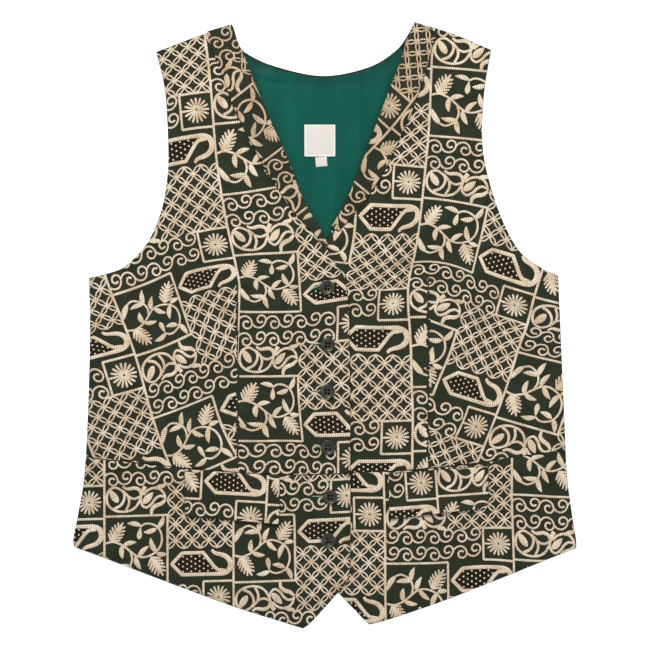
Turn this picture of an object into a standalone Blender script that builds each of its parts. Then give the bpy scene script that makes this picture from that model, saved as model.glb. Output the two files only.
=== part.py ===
"""An embroidered waistcoat laid flat on its back, buttoned, with its front up.

X runs across the garment, +Y towards the neck and +Z up from the surface that it lies on.
The origin is at the middle of its outline, on that surface. Right and left are the wearer's,
so the right front is at -X and lies over the left one at the centre.
Sizes are millimetres, turned into metres when a mesh is made.
"""

import math
from collections import namedtuple

import bmesh
import bpy
import numpy as np

MM = 0.001

# Walls and clearances
BACK_WALL = 1.6
LINING_WALL = 1.0
FRONT_WALL = 1.8
LAPEL_WALL = 1.6
FLAP_WALL = 1.8
LABEL_WALL = 1.0
SEAM_GAP = 0.3
LAYER_GAP = 0.5
OVERLAP_GAP = 0.6

# The right front starts to rise this far before the left front's edge, and is up by the second
OVERLAP_RAMP = 52.0
OVERLAP_LEVEL = 24.0
OVERLAP_TOP = 132.0
OVERLAP_TOP_RUN = 24.0

# How far the fronts stand off the back, and how fast they rise from the edge
LOFT = 1.9
LOFT_REACH = 25.0
BUST_LOFT = 0.9
BUST_SPREAD = 45.0

# The dart runs down each front from below the bust point to the pocket flap
DART_X = 94.0
DART_TOP = 35.0
DART_BOTTOM = -150.0
DART_TOP_RUN = 40.0
DART_BOTTOM_RUN = 20.0
DART_DEPTH = 0.8
DART_HALF_WIDTH = 7.0
BUST_POINT_Y = 40.0

# The back's own outline
BACK_INSET = 0.8
BACK_HEM_SIDE = -229.0
BACK_HEM_DIP = 33.0
BACK_HEM_HALF = 258.0
HEM_DROP_START = 14.0
HEM_DROP_RUN = 20.0

# The lining that shows in the neck: its rim, how far it is tucked under the fronts, and its lowest end
LINING_RIM = 1.4
LINING_TUCK = 6.0
LINING_FOOT = 88.0
LINING_TOP_CLEAR = 2.0

# The lapel's roll round the neck edge of a front
ROLL_RADIUS = 2.0
ROLL_EDGE = 2.8
ROLL_LOWEST_TURN = 250.0
ROLL_START_RUN = 25.0
ROLL_STEPS = 5
LAPEL_STEPS = 5
LAPEL_LIFT = 9.0

BUTTON_RADIUS = 7.6
BUTTON_SIDES = 18
BUTTON_THICK = 3.0
BUTTON_DISH = 0.8
BUTTON_HOLE_RADIUS = 0.85
BUTTON_HOLE_OFFSET = 1.55
BUTTON_HOLE_SIDES = 6

LABEL_WIDTH = 32.0
LABEL_HEIGHT = 33.0
LABEL_AT = (-5.4, 190.0)
TAG_WIDTH = 12.0
TAG_HEIGHT = 10.0
TAG_OFFSET = 3.0

# One row for each section of a front's edge: the wearer's right front, then the left
Edge = namedtuple("Edge", "right_x right_y left_x left_y")
SIDE_SEAM = (
    Edge(-258.4, -228.0, 258.6, -229.2),
    Edge(-259.0, -219.0, 258.2, -220.0),
    Edge(-253.8, -192.0, 253.8, -192.0),
    Edge(-247.6, -152.0, 248.9, -152.8),
    Edge(-243.6, -77.0, 245.8, -87.3),
    Edge(-242.0, 0.0, 242.7, -15.5),
    Edge(-243.2, 48.7, 239.7, 51.8),
)
ARMHOLE = (
    Edge(-243.2, 48.7, 239.7, 51.8),
    Edge(-223.6, 53.5, 221.7, 59.7),
    Edge(-205.6, 61.0, 201.5, 74.8),
    Edge(-183.1, 84.7, 185.5, 101.5),
    Edge(-168.4, 118.7, 172.6, 136.0),
    Edge(-161.8, 160.0, 163.7, 171.6),
    Edge(-162.2, 205.0, 161.5, 205.0),
    Edge(-165.4, 245.0, 164.4, 245.4),
    Edge(-173.9, 281.4, 170.9, 283.5),
)
HEM = (
    Edge(-258.4, -228.0, 258.6, -229.2),
    Edge(-218.5, -242.8, 226.9, -241.8),
    Edge(-158.7, -265.8, 185.9, -258.6),
    Edge(-92.8, -290.2, 124.4, -282.9),
    Edge(-41.3, -306.4, 70.0, -301.6),
    Edge(-22.8, -312.2, 45.7, -308.2),
)
# The left front's cutaway and edge run on, hidden, under the right front
CUTAWAY = (
    Edge(-22.8, -312.2, 45.7, -308.2),
    Edge(-13.5, -305.0, 37.0, -300.0),
    Edge(13.3, -274.8, 13.3, -274.8),
    Edge(23.4, -261.5, -14.0, -246.0),
    Edge(26.0, -247.0, -21.2, -232.0),
)
FRONT_EDGE = (
    Edge(26.0, -247.0, -21.2, -232.0),
    Edge(26.2, -118.0, -21.2, -110.0),
    Edge(24.8, 10.0, -21.2, 10.0),
    Edge(19.6, 50.0, -20.0, 50.0),
)
NECK_EDGE = (
    Edge(19.6, 50.0, -20.0, 50.0),
    Edge(4.4, 80.6, -7.3, 78.0),
    Edge(-1.1, 93.0, 1.5, 94.0),
    Edge(-21.7, 129.0, 21.5, 129.0),
    Edge(-37.7, 170.2, 38.4, 170.2),
    Edge(-65.0, 232.0, 61.7, 232.0),
    Edge(-81.8, 275.0, 78.2, 275.0),
    Edge(-90.7, 293.8, 84.0, 295.0),
    Edge(-95.5, 309.8, 92.0, 312.2),
)
# The seam across each front that the pocket flap is sewn into
POCKET_SEAM = (
    Edge(-246.3, -134.7, 248.1, -128.5),
    Edge(-228.8, -138.0, 218.2, -132.6),
    Edge(-207.1, -139.8, 189.4, -136.2),
    Edge(-161.8, -145.0, 165.7, -140.6),
    Edge(-111.3, -150.1, 115.0, -146.2),
    Edge(-49.5, -153.8, 64.8, -150.1),
    Edge(26.2, -152.2, -21.2, -152.0),
)
SHOULDER = (
    Edge(-173.9, 281.4, 170.9, 283.5),
    Edge(-134.0, 296.6, 131.0, 300.2),
    Edge(-95.5, 309.8, 92.0, 312.2),
)

# The back's neck edge, from the wearer's right to left
Point = namedtuple("Point", "x y")
BACK_NECK = (
    Point(-94.5, 307.5),
    Point(-89.0, 290.0),
    Point(-81.6, 280.6),
    Point(-53.1, 267.2),
    Point(-2.7, 256.8),
    Point(44.6, 265.7),
    Point(72.9, 283.0),
    Point(84.6, 298.5),
    Point(91.0, 309.8),
)

# A lapel's width at heights down the neck edge, and where it ends
Width = namedtuple("Width", "y width")
LAPEL_WIDTHS = (
    Width(312.2, 27.0),
    Width(232.0, 30.5),
    Width(170.0, 26.0),
    Width(129.0, 17.0),
    Width(100.0, 9.0),
    Width(80.0, 5.0),
)
LAPEL_SECTIONS = 24
LAPEL_ENDS = {"right": 82.0, "left": 101.0}

# A pocket flap's corners: the seamed top edge, then the free bottom edge
Flap = namedtuple("Flap", "outer_x inner_x top_outer top_inner bottom_outer bottom_inner")
FLAPS = {
    "right": Flap(-144.5, -46.5, -147.5, -154.5, -196.5, -204.5),
    "left": Flap(168.0, 65.5, -144.5, -152.0, -187.5, -199.5),
}
FLAP_LIFT = 0.9
FLAP_COLUMNS = 9
FLAP_ROWS = 5
# The free corners draw in by the first, from the second of the way down
CORNER_TUCK = 1.2
CORNER_START = 0.75

Button = namedtuple("Button", "x y")
BUTTONS = (
    Button(1.9, 38.8),
    Button(2.8, -20.2),
    Button(2.3, -68.2),
    Button(3.0, -125.5),
    Button(5.3, -176.5),
    Button(3.3, -221.0),
)

# A button's turned shape, from the middle of its underside round to the middle of its face
Turned = namedtuple("Turned", "radius height")
BUTTON_PROFILE = (
    Turned(0.0, 0.3),
    Turned(BUTTON_RADIUS - 1.2, 0.0),
    Turned(BUTTON_RADIUS, 1.0),
    Turned(BUTTON_RADIUS - 0.2, BUTTON_THICK - 0.5),
    Turned(BUTTON_RADIUS - 0.8, BUTTON_THICK),
    Turned(BUTTON_RADIUS - 1.7, BUTTON_THICK - 0.2),
    Turned(BUTTON_RADIUS - 2.7, BUTTON_THICK - BUTTON_DISH),
    Turned(0.0, BUTTON_THICK - BUTTON_DISH),
)

# Where the two neck edges cross: the right front's rolled edge lies on the left front below this
CROSSING_Y = 96.0

# Fractions of the way from the side to the front edge, close together at the dart
ACROSS = (0, 0.08, 0.18, 0.28, 0.38, 0.46, 0.52, 0.56, 0.61, 0.68, 0.74, 0.79, 0.84, 0.89, 0.94, 1)
LOWER_ROWS = 12
WAIST_ROWS = 13
CHEST_ROWS = 17

SHARP_ANGLE = 40
Finish = namedtuple("Finish", "name red green blue roughness")
CLOTH = Finish("embroidered_cloth", 0.30, 0.25, 0.17, 0.8)
GROUND = Finish("ground_cloth", 0.03, 0.045, 0.035, 0.85)
SATIN = Finish("lining_satin", 0.01, 0.10, 0.075, 0.4)
HORN = Finish("button_horn", 0.04, 0.04, 0.045, 0.35)
WOVEN = Finish("woven_label", 0.82, 0.80, 0.76, 0.8)


def ease(t):
    """0 to 1, level at both ends."""
    t = np.clip(t, 0.0, 1.0)
    return t * t * (3 - 2 * t)


def side_points(rows, side):
    """One front's points from a table of edges."""
    return np.array([(getattr(r, side + "_x"), getattr(r, side + "_y")) for r in rows])


def smooth_curve(points, count):
    """count points, evenly spaced, on a smooth curve through a few points."""
    points = np.asarray(points, float)
    ends = np.vstack([2 * points[0] - points[1], points, 2 * points[-1] - points[-2]])
    dense = []
    for before, start, end, after in zip(ends, ends[1:], ends[2:], ends[3:]):
        t = np.linspace(0, 1, 24, endpoint=False)[:, None]
        slope_in = (end - before) / 2
        slope_out = (after - start) / 2
        dense.append(
            (2 * t**3 - 3 * t**2 + 1) * start
            + (t**3 - 2 * t**2 + t) * slope_in
            + (3 * t**2 - 2 * t**3) * end
            + (t**3 - t**2) * slope_out
        )
    dense = np.vstack([*dense, points[-1:]])
    return even(dense, count)


def even(line, count):
    """The same line, cut again into count evenly spaced points."""
    along = np.concatenate([[0], np.cumsum(np.linalg.norm(np.diff(line, axis=0), axis=1))])
    at = np.linspace(0, along[-1], count)
    return np.stack([np.interp(at, along, line[:, k]) for k in (0, 1)], axis=1)


def join(*lines):
    """Lines that share their ends, as one."""
    return np.vstack([lines[0], *[line[1:] for line in lines[1:]]])


def table_value(rows, key, value, at):
    """A named column read at any height of a short table."""
    rows = sorted(rows, key=lambda r: getattr(r, key))
    return np.interp(at, [getattr(r, key) for r in rows], [getattr(r, value) for r in rows])


def distance_to(line, x, y):
    """The distance from points to a line drawn by close points."""
    start, end = line[:-1], line[1:]
    run = end - start
    flat = np.stack([np.ravel(x), np.ravel(y)], axis=1)[:, None, :]
    share = np.clip(((flat - start) * run).sum(2) / np.maximum((run**2).sum(1), 1e-9), 0, 1)
    near = start + share[..., None] * run
    return np.linalg.norm(flat - near, axis=2).min(1).reshape(np.shape(x))


def outline_edges():
    """The garment's silhouette without its neck: the edges where the layers meet."""
    lines = []
    for side in ("right", "left"):
        for rows in (SIDE_SEAM, ARMHOLE, SHOULDER, HEM):
            lines.append(smooth_curve(side_points(rows, side), 40))
        lines.append(smooth_curve(side_points(CUTAWAY[:3], side), 12))
    return lines


SILHOUETTE = outline_edges()


def back_hem(x):
    """The height of the back's hem, which dips to the middle."""
    return BACK_HEM_SIDE - BACK_HEM_DIP * np.cos(np.asarray(x) / BACK_HEM_HALF * math.pi / 2) ** 2


def floor_under_fronts(x, y):
    """What the fronts lie on: the back and a seam's gap, then the surface past the back's hem."""
    beyond = back_hem(x) - y
    return (BACK_WALL + SEAM_GAP) * (1 - ease((beyond - HEM_DROP_START) / HEM_DROP_RUN))


def loft(x, y):
    """How far the fronts rise off the back, as one smooth form across both."""
    near = np.min([distance_to(line, x, y) for line in SILHOUETTE], axis=0)
    bust = np.exp(-((np.abs(x) - DART_X) ** 2 + (y - BUST_POINT_Y) ** 2) / (2 * BUST_SPREAD**2))
    rise = (1 - np.exp(-near / LOFT_REACH)) * (LOFT + BUST_LOFT * bust)
    into = 1 - ease(np.abs(np.abs(x) - DART_X) / DART_HALF_WIDTH)
    along = ease((y - DART_BOTTOM) / DART_BOTTOM_RUN) * ease((DART_TOP - y) / DART_TOP_RUN)
    return rise - DART_DEPTH * into * along


def hidden_edge(y):
    """Where the left front's own edge runs under the right front."""
    line = join(
        smooth_curve(side_points(CUTAWAY, "left"), 40),
        smooth_curve(side_points(FRONT_EDGE, "left"), 20),
        smooth_curve(side_points(NECK_EDGE[:3], "left"), 20),
    )
    return np.interp(y, line[:, 1], line[:, 0])


def overlap(x, y):
    """1 where the right front lies on the left one, easing to 0 beside it."""
    into = ease((x - hidden_edge(y) + OVERLAP_RAMP) / (OVERLAP_RAMP - OVERLAP_LEVEL))
    return into * ease((OVERLAP_TOP - y) / OVERLAP_TOP_RUN)


def front_under(side, x, y):
    """The height of a front's underside."""
    z = floor_under_fronts(x, y) + loft(x, y)
    if side == "right":
        z = z + overlap(x, y) * (FRONT_WALL + OVERLAP_GAP)
    return z


def front_top(side, x, y):
    return front_under(side, x, y) + FRONT_WALL


def directions(line):
    """The way that a line runs at each of its points."""
    run = np.gradient(line, axis=0)
    return run / np.linalg.norm(run, axis=1)[:, None]


def away_from_neck(line, side):
    """Towards a front's own cloth, away from the open neck, at each point of its neck edge."""
    run = directions(line)
    return np.stack([-run[:, 1], run[:, 0]], axis=1) * (1 if side == "right" else -1)


def neck_line(side, set_back, count):
    """The neck edge of a front, set back from the rolled edge."""
    line = smooth_curve(side_points(NECK_EDGE, side), 200)
    share = ease((line[:, 1] - line[0, 1]) / ROLL_START_RUN)[:, None]
    return even(line + away_from_neck(line, side) * set_back * share, count)


def coons(bottom, top, outer, inner, across):
    """Fills four edges with a grid: rows from bottom to top, columns from outer to inner."""
    rows = len(outer)
    u = np.array(across)[None, :, None]
    v = np.linspace(0, 1, rows)[:, None, None]
    along_rows = (1 - u) * outer[:, None, :] + u * inner[:, None, :]
    along_columns = (1 - v) * bottom[None] + v * top[None]
    corners = (
        (1 - u) * (1 - v) * bottom[0] + u * (1 - v) * bottom[-1] + (1 - u) * v * top[0] + u * v * top[-1]
    )
    return along_rows + along_columns - corners


def at_shares(line, shares):
    """Points at given shares of a line's length."""
    dense = even(line, 400)
    index = np.array(shares) * (len(dense) - 1)
    return np.stack([np.interp(index, np.arange(len(dense)), dense[:, k]) for k in (0, 1)], axis=1)


def cut_between(line, low, high):
    """The stretch of a rising line from one height to another."""
    ends = [(np.interp(y, line[:, 1], line[:, 0]), y) for y in (low, high)]
    inside = line[(line[:, 1] > low + 0.5) & (line[:, 1] < high - 0.5)]
    return np.vstack([ends[:1], inside, ends[1:]])


def side_line(side):
    return smooth_curve(side_points(SIDE_SEAM, side), 200)


def front_edge_line(side):
    """The cutaway and the edge of a front, up to the foot of the lapel."""
    cutaway = smooth_curve(side_points(CUTAWAY, side), 90)
    return join(cutaway, smooth_curve(side_points(FRONT_EDGE, side), 150))


def pocket_seam(side, move):
    """The seam across a front, moved up or down by half the gap and cut to the front's edges."""
    line = smooth_curve(side_points(POCKET_SEAM, side), 200) + (0, move)
    line[0, 0] = np.interp(line[0, 1], side_line(side)[:, 1], side_line(side)[:, 0])
    edge = front_edge_line(side)
    line[-1, 0] = np.interp(line[-1, 1], edge[:, 1], edge[:, 0])
    return line


def lower_grid(side):
    """The plan of a lower front, from the hem to the pocket seam, as a grid of points."""
    bottom = smooth_curve(side_points(HEM, side), 200)
    top = pocket_seam(side, -SEAM_GAP / 2)
    outer = even(cut_between(side_line(side), bottom[0, 1], top[0, 1]), LOWER_ROWS)
    inner = even(cut_between(front_edge_line(side), bottom[-1, 1], top[-1, 1]), LOWER_ROWS)
    return coons(at_shares(bottom, ACROSS), at_shares(top, ACROSS), outer, inner, ACROSS)


def upper_grid(side):
    """The plan of an upper front, from the pocket seam to the shoulder, as a grid of points."""
    bottom = pocket_seam(side, SEAM_GAP / 2)
    top = smooth_curve(side_points(SHOULDER, side), 200)
    waist = cut_between(side_line(side), bottom[0, 1], side_line(side)[-1, 1])
    edge = front_edge_line(side)
    below_neck = cut_between(edge, bottom[-1, 1], edge[-1, 1])
    outer = join(even(waist, WAIST_ROWS), smooth_curve(side_points(ARMHOLE, side), CHEST_ROWS))
    inner = join(even(below_neck, WAIST_ROWS), neck_line(side, ROLL_EDGE, CHEST_ROWS))
    top[-1] = inner[-1]
    return coons(at_shares(bottom, ACROSS), at_shares(top, ACROSS), outer, inner, ACROSS)


def material(finish):
    """A plain cloth or horn material."""
    made = bpy.data.materials.new(finish.name)
    made.use_nodes = True
    shader = made.node_tree.nodes["Principled BSDF"]
    shader.inputs["Base Color"].default_value = (finish.red, finish.green, finish.blue, 1)
    shader.inputs["Roughness"].default_value = finish.roughness
    shader.inputs["Metallic"].default_value = 0.0
    return made


def add_object(name, bm, finish):
    """Closes up a bmesh, in millimetres, as a named object in metres."""
    bmesh.ops.recalc_face_normals(bm, faces=bm.faces)
    bmesh.ops.scale(bm, vec=(MM, MM, MM), verts=bm.verts)
    mesh = bpy.data.meshes.new(name)
    bm.to_mesh(mesh)
    bm.free()
    mesh.shade_smooth()
    mesh.set_sharp_from_angle(angle=math.radians(SHARP_ANGLE))
    mesh.materials.append(finish)
    obj = bpy.data.objects.new(name, mesh)
    bpy.context.scene.collection.objects.link(obj)
    return obj


def wall_from_grid(under, over):
    """A closed wall between two grids of points, rows by columns."""
    bm = bmesh.new()
    rows, columns = under.shape[:2]
    low = [[bm.verts.new(under[r, c]) for c in range(columns)] for r in range(rows)]
    high = [[bm.verts.new(over[r, c]) for c in range(columns)] for r in range(rows)]
    for grid in (low, high):
        for r in range(rows - 1):
            for c in range(columns - 1):
                bm.faces.new((grid[r][c], grid[r][c + 1], grid[r + 1][c + 1], grid[r + 1][c]))
    rim = [(0, c) for c in range(columns)]
    rim += [(r, columns - 1) for r in range(1, rows)]
    rim += [(rows - 1, c) for c in range(columns - 2, -1, -1)]
    rim += [(r, 0) for r in range(rows - 2, 0, -1)]
    for (r, c), (s, d) in zip(rim, rim[1:] + rim[:1]):
        bm.faces.new((low[r][c], low[s][d], high[s][d], high[r][c]))
    return bm


def flat_wall(outline, low, high):
    """A level wall over a plan outline."""
    bm = bmesh.new()
    base = bm.faces.new([bm.verts.new((x, y, low)) for x, y in outline])
    grown = bmesh.ops.extrude_face_region(bm, geom=[base])
    raised = [g for g in grown["geom"] if isinstance(g, bmesh.types.BMVert)]
    bmesh.ops.translate(bm, vec=(0, 0, high - low), verts=raised)
    return bm


def back_outline():
    """The back's plan, just inside the fronts' side seams, armholes and shoulders."""
    edges = []
    for side, turn in (("right", 1), ("left", -1)):
        line = join(
            smooth_curve(side_points(SIDE_SEAM, side), 16),
            smooth_curve(side_points(ARMHOLE, side), 30),
            smooth_curve(side_points(SHOULDER, side), 6),
        )
        edges.append(inset(line, turn, BACK_INSET))
    right, left = edges
    neck = smooth_curve(BACK_NECK, 40)
    hem_x = np.linspace(left[0, 0], right[0, 0], 33)[1:-1]
    hem = np.stack([hem_x, back_hem(hem_x)], axis=1)
    return np.vstack([right[:-1], neck, left[-2::-1], hem])


def inset(line, turn, amount):
    """A line moved sideways, to its right for turn 1."""
    run = directions(line)
    return line + np.stack([run[:, 1], -run[:, 0]], axis=1) * amount * turn


def make_back(finish):
    add_object("back", flat_wall(back_outline(), 0.0, BACK_WALL), finish)


def make_lining(finish):
    """The lining from the back's neck edge down to the point of the neck, tucked under the fronts."""
    # The neck curve without its ends, which run up under the lapels
    neck = inset(smooth_curve(BACK_NECK, 60)[6:-6], 1, LINING_RIM)
    sides = []
    for side, tuck in (("right", -LINING_TUCK), ("left", LINING_TUCK)):
        line = neck_line(side, 0.0, 200)
        shows = (line[:, 1] > LINING_FOOT) & (line[:, 1] < neck[0, 1] - LINING_TOP_CLEAR)
        sides.append(even(line[shows], 24) + (tuck, 0))
    right, left = sides
    outline = np.vstack([neck, left[::-1], right])
    low = BACK_WALL + SEAM_GAP
    add_object("back_lining", flat_wall(outline, low, low + LINING_WALL), finish)


def make_front(name, side, plan, finish):
    x, y = plan[..., 0], plan[..., 1]
    low = front_under(side, x, y)
    under = np.dstack([x, y, low])
    over = np.dstack([x, y, low + FRONT_WALL])
    add_object(name, wall_from_grid(under, over), finish)


def lowest_roll(side, x, y):
    """What lies below the rolled edge: the lining, the back or the other front."""
    under = np.full(np.shape(x), BACK_WALL + SEAM_GAP + LINING_WALL)
    if side == "right":
        under = np.where(y < CROSSING_Y, front_top("left", x, y), under)
    return under + SEAM_GAP


def lapel_ring(side, place, outward, width):
    """One section of a lapel: over its front from the free edge, then round the rolled neck edge."""
    half = LAPEL_WALL / 2
    edge = place + outward * ROLL_EDGE
    middle = float(front_under(side, edge[0], edge[1])) + FRONT_WALL / 2
    lowest = float(lowest_roll(side, edge[0], edge[1]))
    deepest = math.sin(math.radians(ROLL_LOWEST_TURN))
    reach = np.clip((lowest + half - middle) / ROLL_RADIUS, deepest, 0)
    last_turn = 180 + math.degrees(math.asin(-reach))
    lies = np.linspace(width, ROLL_EDGE, LAPEL_STEPS + 1)[:-1]
    spots = place + outward * lies[:, None]
    level = front_top(side, spots[:, 0], spots[:, 1]) + LAYER_GAP + half
    # Nothing of the lapel dips below the roll that it runs into
    level = np.maximum(level, min(middle + ROLL_RADIUS, level.min() + LAPEL_LIFT))
    centre = [(d, z, 0.0, 1.0) for d, z in zip(lies, level)]
    for turn in np.radians(np.linspace(90, last_turn, ROLL_STEPS)):
        across, up = math.cos(turn), math.sin(turn)
        centre.append((ROLL_EDGE + ROLL_RADIUS * across, middle + ROLL_RADIUS * up, across, up))
    outside = [(d + n * half, z + m * half) for d, z, n, m in centre]
    inside = [(d - n * half, z - m * half) for d, z, n, m in centre[::-1]]
    return [(*(place + outward * d), z) for d, z in outside + inside]


def make_lapel(side, finish):
    """A lapel lies on its front and rolls over the neck edge, as a wall of even thickness."""
    line = neck_line(side, 0.0, 400)
    line = even(line[line[:, 1] > LAPEL_ENDS[side]], LAPEL_SECTIONS)
    widths = table_value(LAPEL_WIDTHS, "y", "width", line[:, 1])
    bm = bmesh.new()
    rings = []
    for place, outward, width in zip(line, away_from_neck(line, side), widths):
        rings.append([bm.verts.new(spot) for spot in lapel_ring(side, place, outward, width)])
    for one, two in zip(rings, rings[1:]):
        for k in range(len(one)):
            n = (k + 1) % len(one)
            bm.faces.new((one[k], one[n], two[n], two[k]))
    for ring in (rings[0], rings[-1]):
        last = len(ring) - 1
        for k in range(len(ring) // 2 - 1):
            bm.faces.new((ring[k], ring[k + 1], ring[last - k - 1], ring[last - k]))
    add_object("lapel_" + side, bm, finish)


def make_flap(side, finish):
    """A pocket flap, seamed along its top edge and lifting a little at its free edge."""
    size = FLAPS[side]
    across = np.linspace(0, 1, FLAP_COLUMNS)
    down = np.linspace(0, 1, FLAP_ROWS)
    plan = np.zeros((len(down), len(across), 2))
    for r, t in enumerate(down):
        outer = size.top_outer + (size.bottom_outer - size.top_outer) * t
        inner = size.top_inner + (size.bottom_inner - size.top_inner) * t
        tuck = CORNER_TUCK * max(0.0, t - CORNER_START) / (1 - CORNER_START)
        start, end = size.outer_x, size.inner_x
        sign = 1 if end > start else -1
        plan[r, :, 0] = start + sign * tuck + (end - start - 2 * sign * tuck) * across
        plan[r, :, 1] = outer + (inner - outer) * across
    x, y = plan[..., 0], plan[..., 1]
    lift = FLAP_LIFT * down[:, None] ** 2
    low = front_top(side, x, y) + LAYER_GAP + lift
    add_object(
        "flap_" + side,
        wall_from_grid(np.dstack([x, y, low]), np.dstack([x, y, low + FLAP_WALL])),
        finish,
    )


def make_button(number, place, finish):
    """A four-hole button with a raised rim, lying on the right front."""
    around = np.radians(np.arange(0, 360, 30))
    ring_x = place.x + BUTTON_RADIUS * np.cos(around)
    ring_y = place.y + BUTTON_RADIUS * np.sin(around)
    seat = float(np.max(front_top("right", ring_x, ring_y))) + LAYER_GAP
    bm = bmesh.new()
    rings = []
    for row in BUTTON_PROFILE:
        if row.radius == 0:
            rings.append([bm.verts.new((0, 0, row.height))])
            continue
        turns = [2 * math.pi * k / BUTTON_SIDES for k in range(BUTTON_SIDES)]
        rings.append(
            [bm.verts.new((row.radius * math.cos(a), row.radius * math.sin(a), row.height)) for a in turns]
        )
    for one, two in zip(rings, rings[1:]):
        for k in range(BUTTON_SIDES):
            n = (k + 1) % BUTTON_SIDES
            if len(one) == 1:
                bm.faces.new((one[0], two[n], two[k]))
            elif len(two) == 1:
                bm.faces.new((one[k], one[n], two[0]))
            else:
                bm.faces.new((one[k], one[n], two[n], two[k]))
    button = add_object(f"button_{number}", bm, finish)
    button.location = (place.x * MM, place.y * MM, seat * MM)
    drill_holes(button)


def drill_holes(button):
    """Four thread holes, cut right through."""
    for number, (sign_x, sign_y) in enumerate(((1, 1), (1, -1), (-1, 1), (-1, -1))):
        bm = bmesh.new()
        bmesh.ops.create_cone(
            bm,
            cap_ends=True,
            segments=BUTTON_HOLE_SIDES,
            radius1=BUTTON_HOLE_RADIUS,
            radius2=BUTTON_HOLE_RADIUS,
            depth=4 * BUTTON_THICK,
        )
        cutter = add_object(f"{button.name}_cutter_{number}", bm, button.data.materials[0])
        cutter.location = (
            button.location.x + sign_x * BUTTON_HOLE_OFFSET * MM,
            button.location.y + sign_y * BUTTON_HOLE_OFFSET * MM,
            button.location.z,
        )
        cutter.hide_render = True
        cutter.display_type = "WIRE"
        cut = button.modifiers.new(f"hole_{number}", "BOOLEAN")
        cut.operation = "DIFFERENCE"
        cut.object = cutter


def make_labels(finish):
    """The woven label and the size tag below it, on the lining."""
    low = BACK_WALL + SEAM_GAP + LINING_WALL + SEAM_GAP
    x, y = LABEL_AT
    corners = [(-1, -1), (1, -1), (1, 1), (-1, 1)]
    label = [(x + a * LABEL_WIDTH / 2, y + b * LABEL_HEIGHT / 2) for a, b in corners]
    add_object("label", flat_wall(label, low, low + LABEL_WALL), finish)
    tag_x = x + TAG_OFFSET / 2
    tag_y = y - LABEL_HEIGHT / 2 - SEAM_GAP - TAG_HEIGHT / 2
    tag = [(tag_x + a * TAG_WIDTH / 2, tag_y + b * TAG_HEIGHT / 2) for a, b in corners]
    add_object("size_tag", flat_wall(tag, low, low + LABEL_WALL), finish)


def main():
    for obj in list(bpy.data.objects):
        bpy.data.objects.remove(obj)
    cloth, ground, satin, horn, woven = [material(row) for row in (CLOTH, GROUND, SATIN, HORN, WOVEN)]
    make_back(ground)
    make_lining(satin)
    for side in ("right", "left"):
        make_front("front_lower_" + side, side, lower_grid(side), cloth)
        make_front("front_upper_" + side, side, upper_grid(side), cloth)
        make_lapel(side, cloth)
        make_flap(side, cloth)
    for number, place in enumerate(BUTTONS, start=1):
        make_button(number, place, horn)
    make_labels(woven)


main()
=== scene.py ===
"""Looks of an embroidered waistcoat that lies flat on its back, buttoned, with its front up.

X runs across the garment, +Y towards the neck and +Z up. Sizes are millimetres, turned into
metres when a mesh is made. The first half repeats the part's own outlines and heights, so that
the fine shells lie where its solids are. The second half sews the embroidery on them.
"""

import math
from collections import namedtuple
from itertools import product

import bpy
import numpy as np
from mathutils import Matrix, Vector


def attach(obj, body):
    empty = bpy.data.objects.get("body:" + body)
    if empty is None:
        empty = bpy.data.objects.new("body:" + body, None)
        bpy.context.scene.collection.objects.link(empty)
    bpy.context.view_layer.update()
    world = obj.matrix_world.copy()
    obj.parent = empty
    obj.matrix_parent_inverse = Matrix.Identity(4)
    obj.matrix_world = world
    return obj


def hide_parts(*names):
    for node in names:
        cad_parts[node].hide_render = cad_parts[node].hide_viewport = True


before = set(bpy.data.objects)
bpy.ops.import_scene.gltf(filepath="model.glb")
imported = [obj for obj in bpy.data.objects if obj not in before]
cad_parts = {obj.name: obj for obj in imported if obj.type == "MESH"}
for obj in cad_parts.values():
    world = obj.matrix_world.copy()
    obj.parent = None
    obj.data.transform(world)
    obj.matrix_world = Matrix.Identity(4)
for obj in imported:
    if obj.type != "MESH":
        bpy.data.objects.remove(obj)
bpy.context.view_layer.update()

MM = 0.001


def rows(kind, *listed):
    """A table's rows, all of one kind."""
    return tuple(kind(*row) for row in listed)


# How closely an edge is cut where it is only read, and where a neck edge or a share needs more
LINE_CUTS = 200
CLOSE_CUTS = 400
SPAN_CUTS = 24

# Walls and clearances
BACK_WALL = 1.6
LINING_WALL = 1.0
FRONT_WALL = 1.8
LAPEL_WALL = 1.6
FLAP_WALL = 1.8
LABEL_WALL = 1.0
SEAM_GAP = 0.3
LAYER_GAP = 0.5
OVERLAP_GAP = 0.6

# The right front starts to rise this far before the left front's edge, and is up by the second
OVERLAP_RAMP = 52.0
OVERLAP_LEVEL = 24.0
OVERLAP_TOP = 132.0
OVERLAP_TOP_RUN = 24.0

# How far the fronts stand off the back, and how fast they rise from the edge
LOFT = 1.9
LOFT_REACH = 25.0
BUST_LOFT = 0.9
BUST_SPREAD = 45.0

# The dart runs down each front from below the bust point to the pocket flap
DART_X = 94.0
DART_TOP = 35.0
DART_BOTTOM = -150.0
DART_TOP_RUN = 40.0
DART_BOTTOM_RUN = 20.0
DART_DEPTH = 0.8
DART_HALF_WIDTH = 7.0
BUST_POINT_Y = 40.0

# The back's own outline
BACK_INSET = 0.8
# Its rim: how far in each ring lies, and how far below the back's top
BACK_RIM = ((0.0, BACK_WALL), (0.0, 0.5), (0.4, 0.1), (1.0, 0.0))
BACK_HEM_SIDE = -229.0
BACK_HEM_DIP = 33.0
BACK_HEM_HALF = 258.0
HEM_DROP_START = 14.0
HEM_DROP_RUN = 20.0

# The lining that shows in the neck: how far it is tucked under the fronts, and its lowest end
LINING_TUCK = 6.0
LINING_FOOT = 88.0
LINING_TOP_CLEAR = 2.0

# The lapel's roll round the neck edge of a front
ROLL_RADIUS = 2.0
ROLL_EDGE = 2.8
ROLL_LOWEST_TURN = 250.0
ROLL_START_RUN = 25.0

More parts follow.
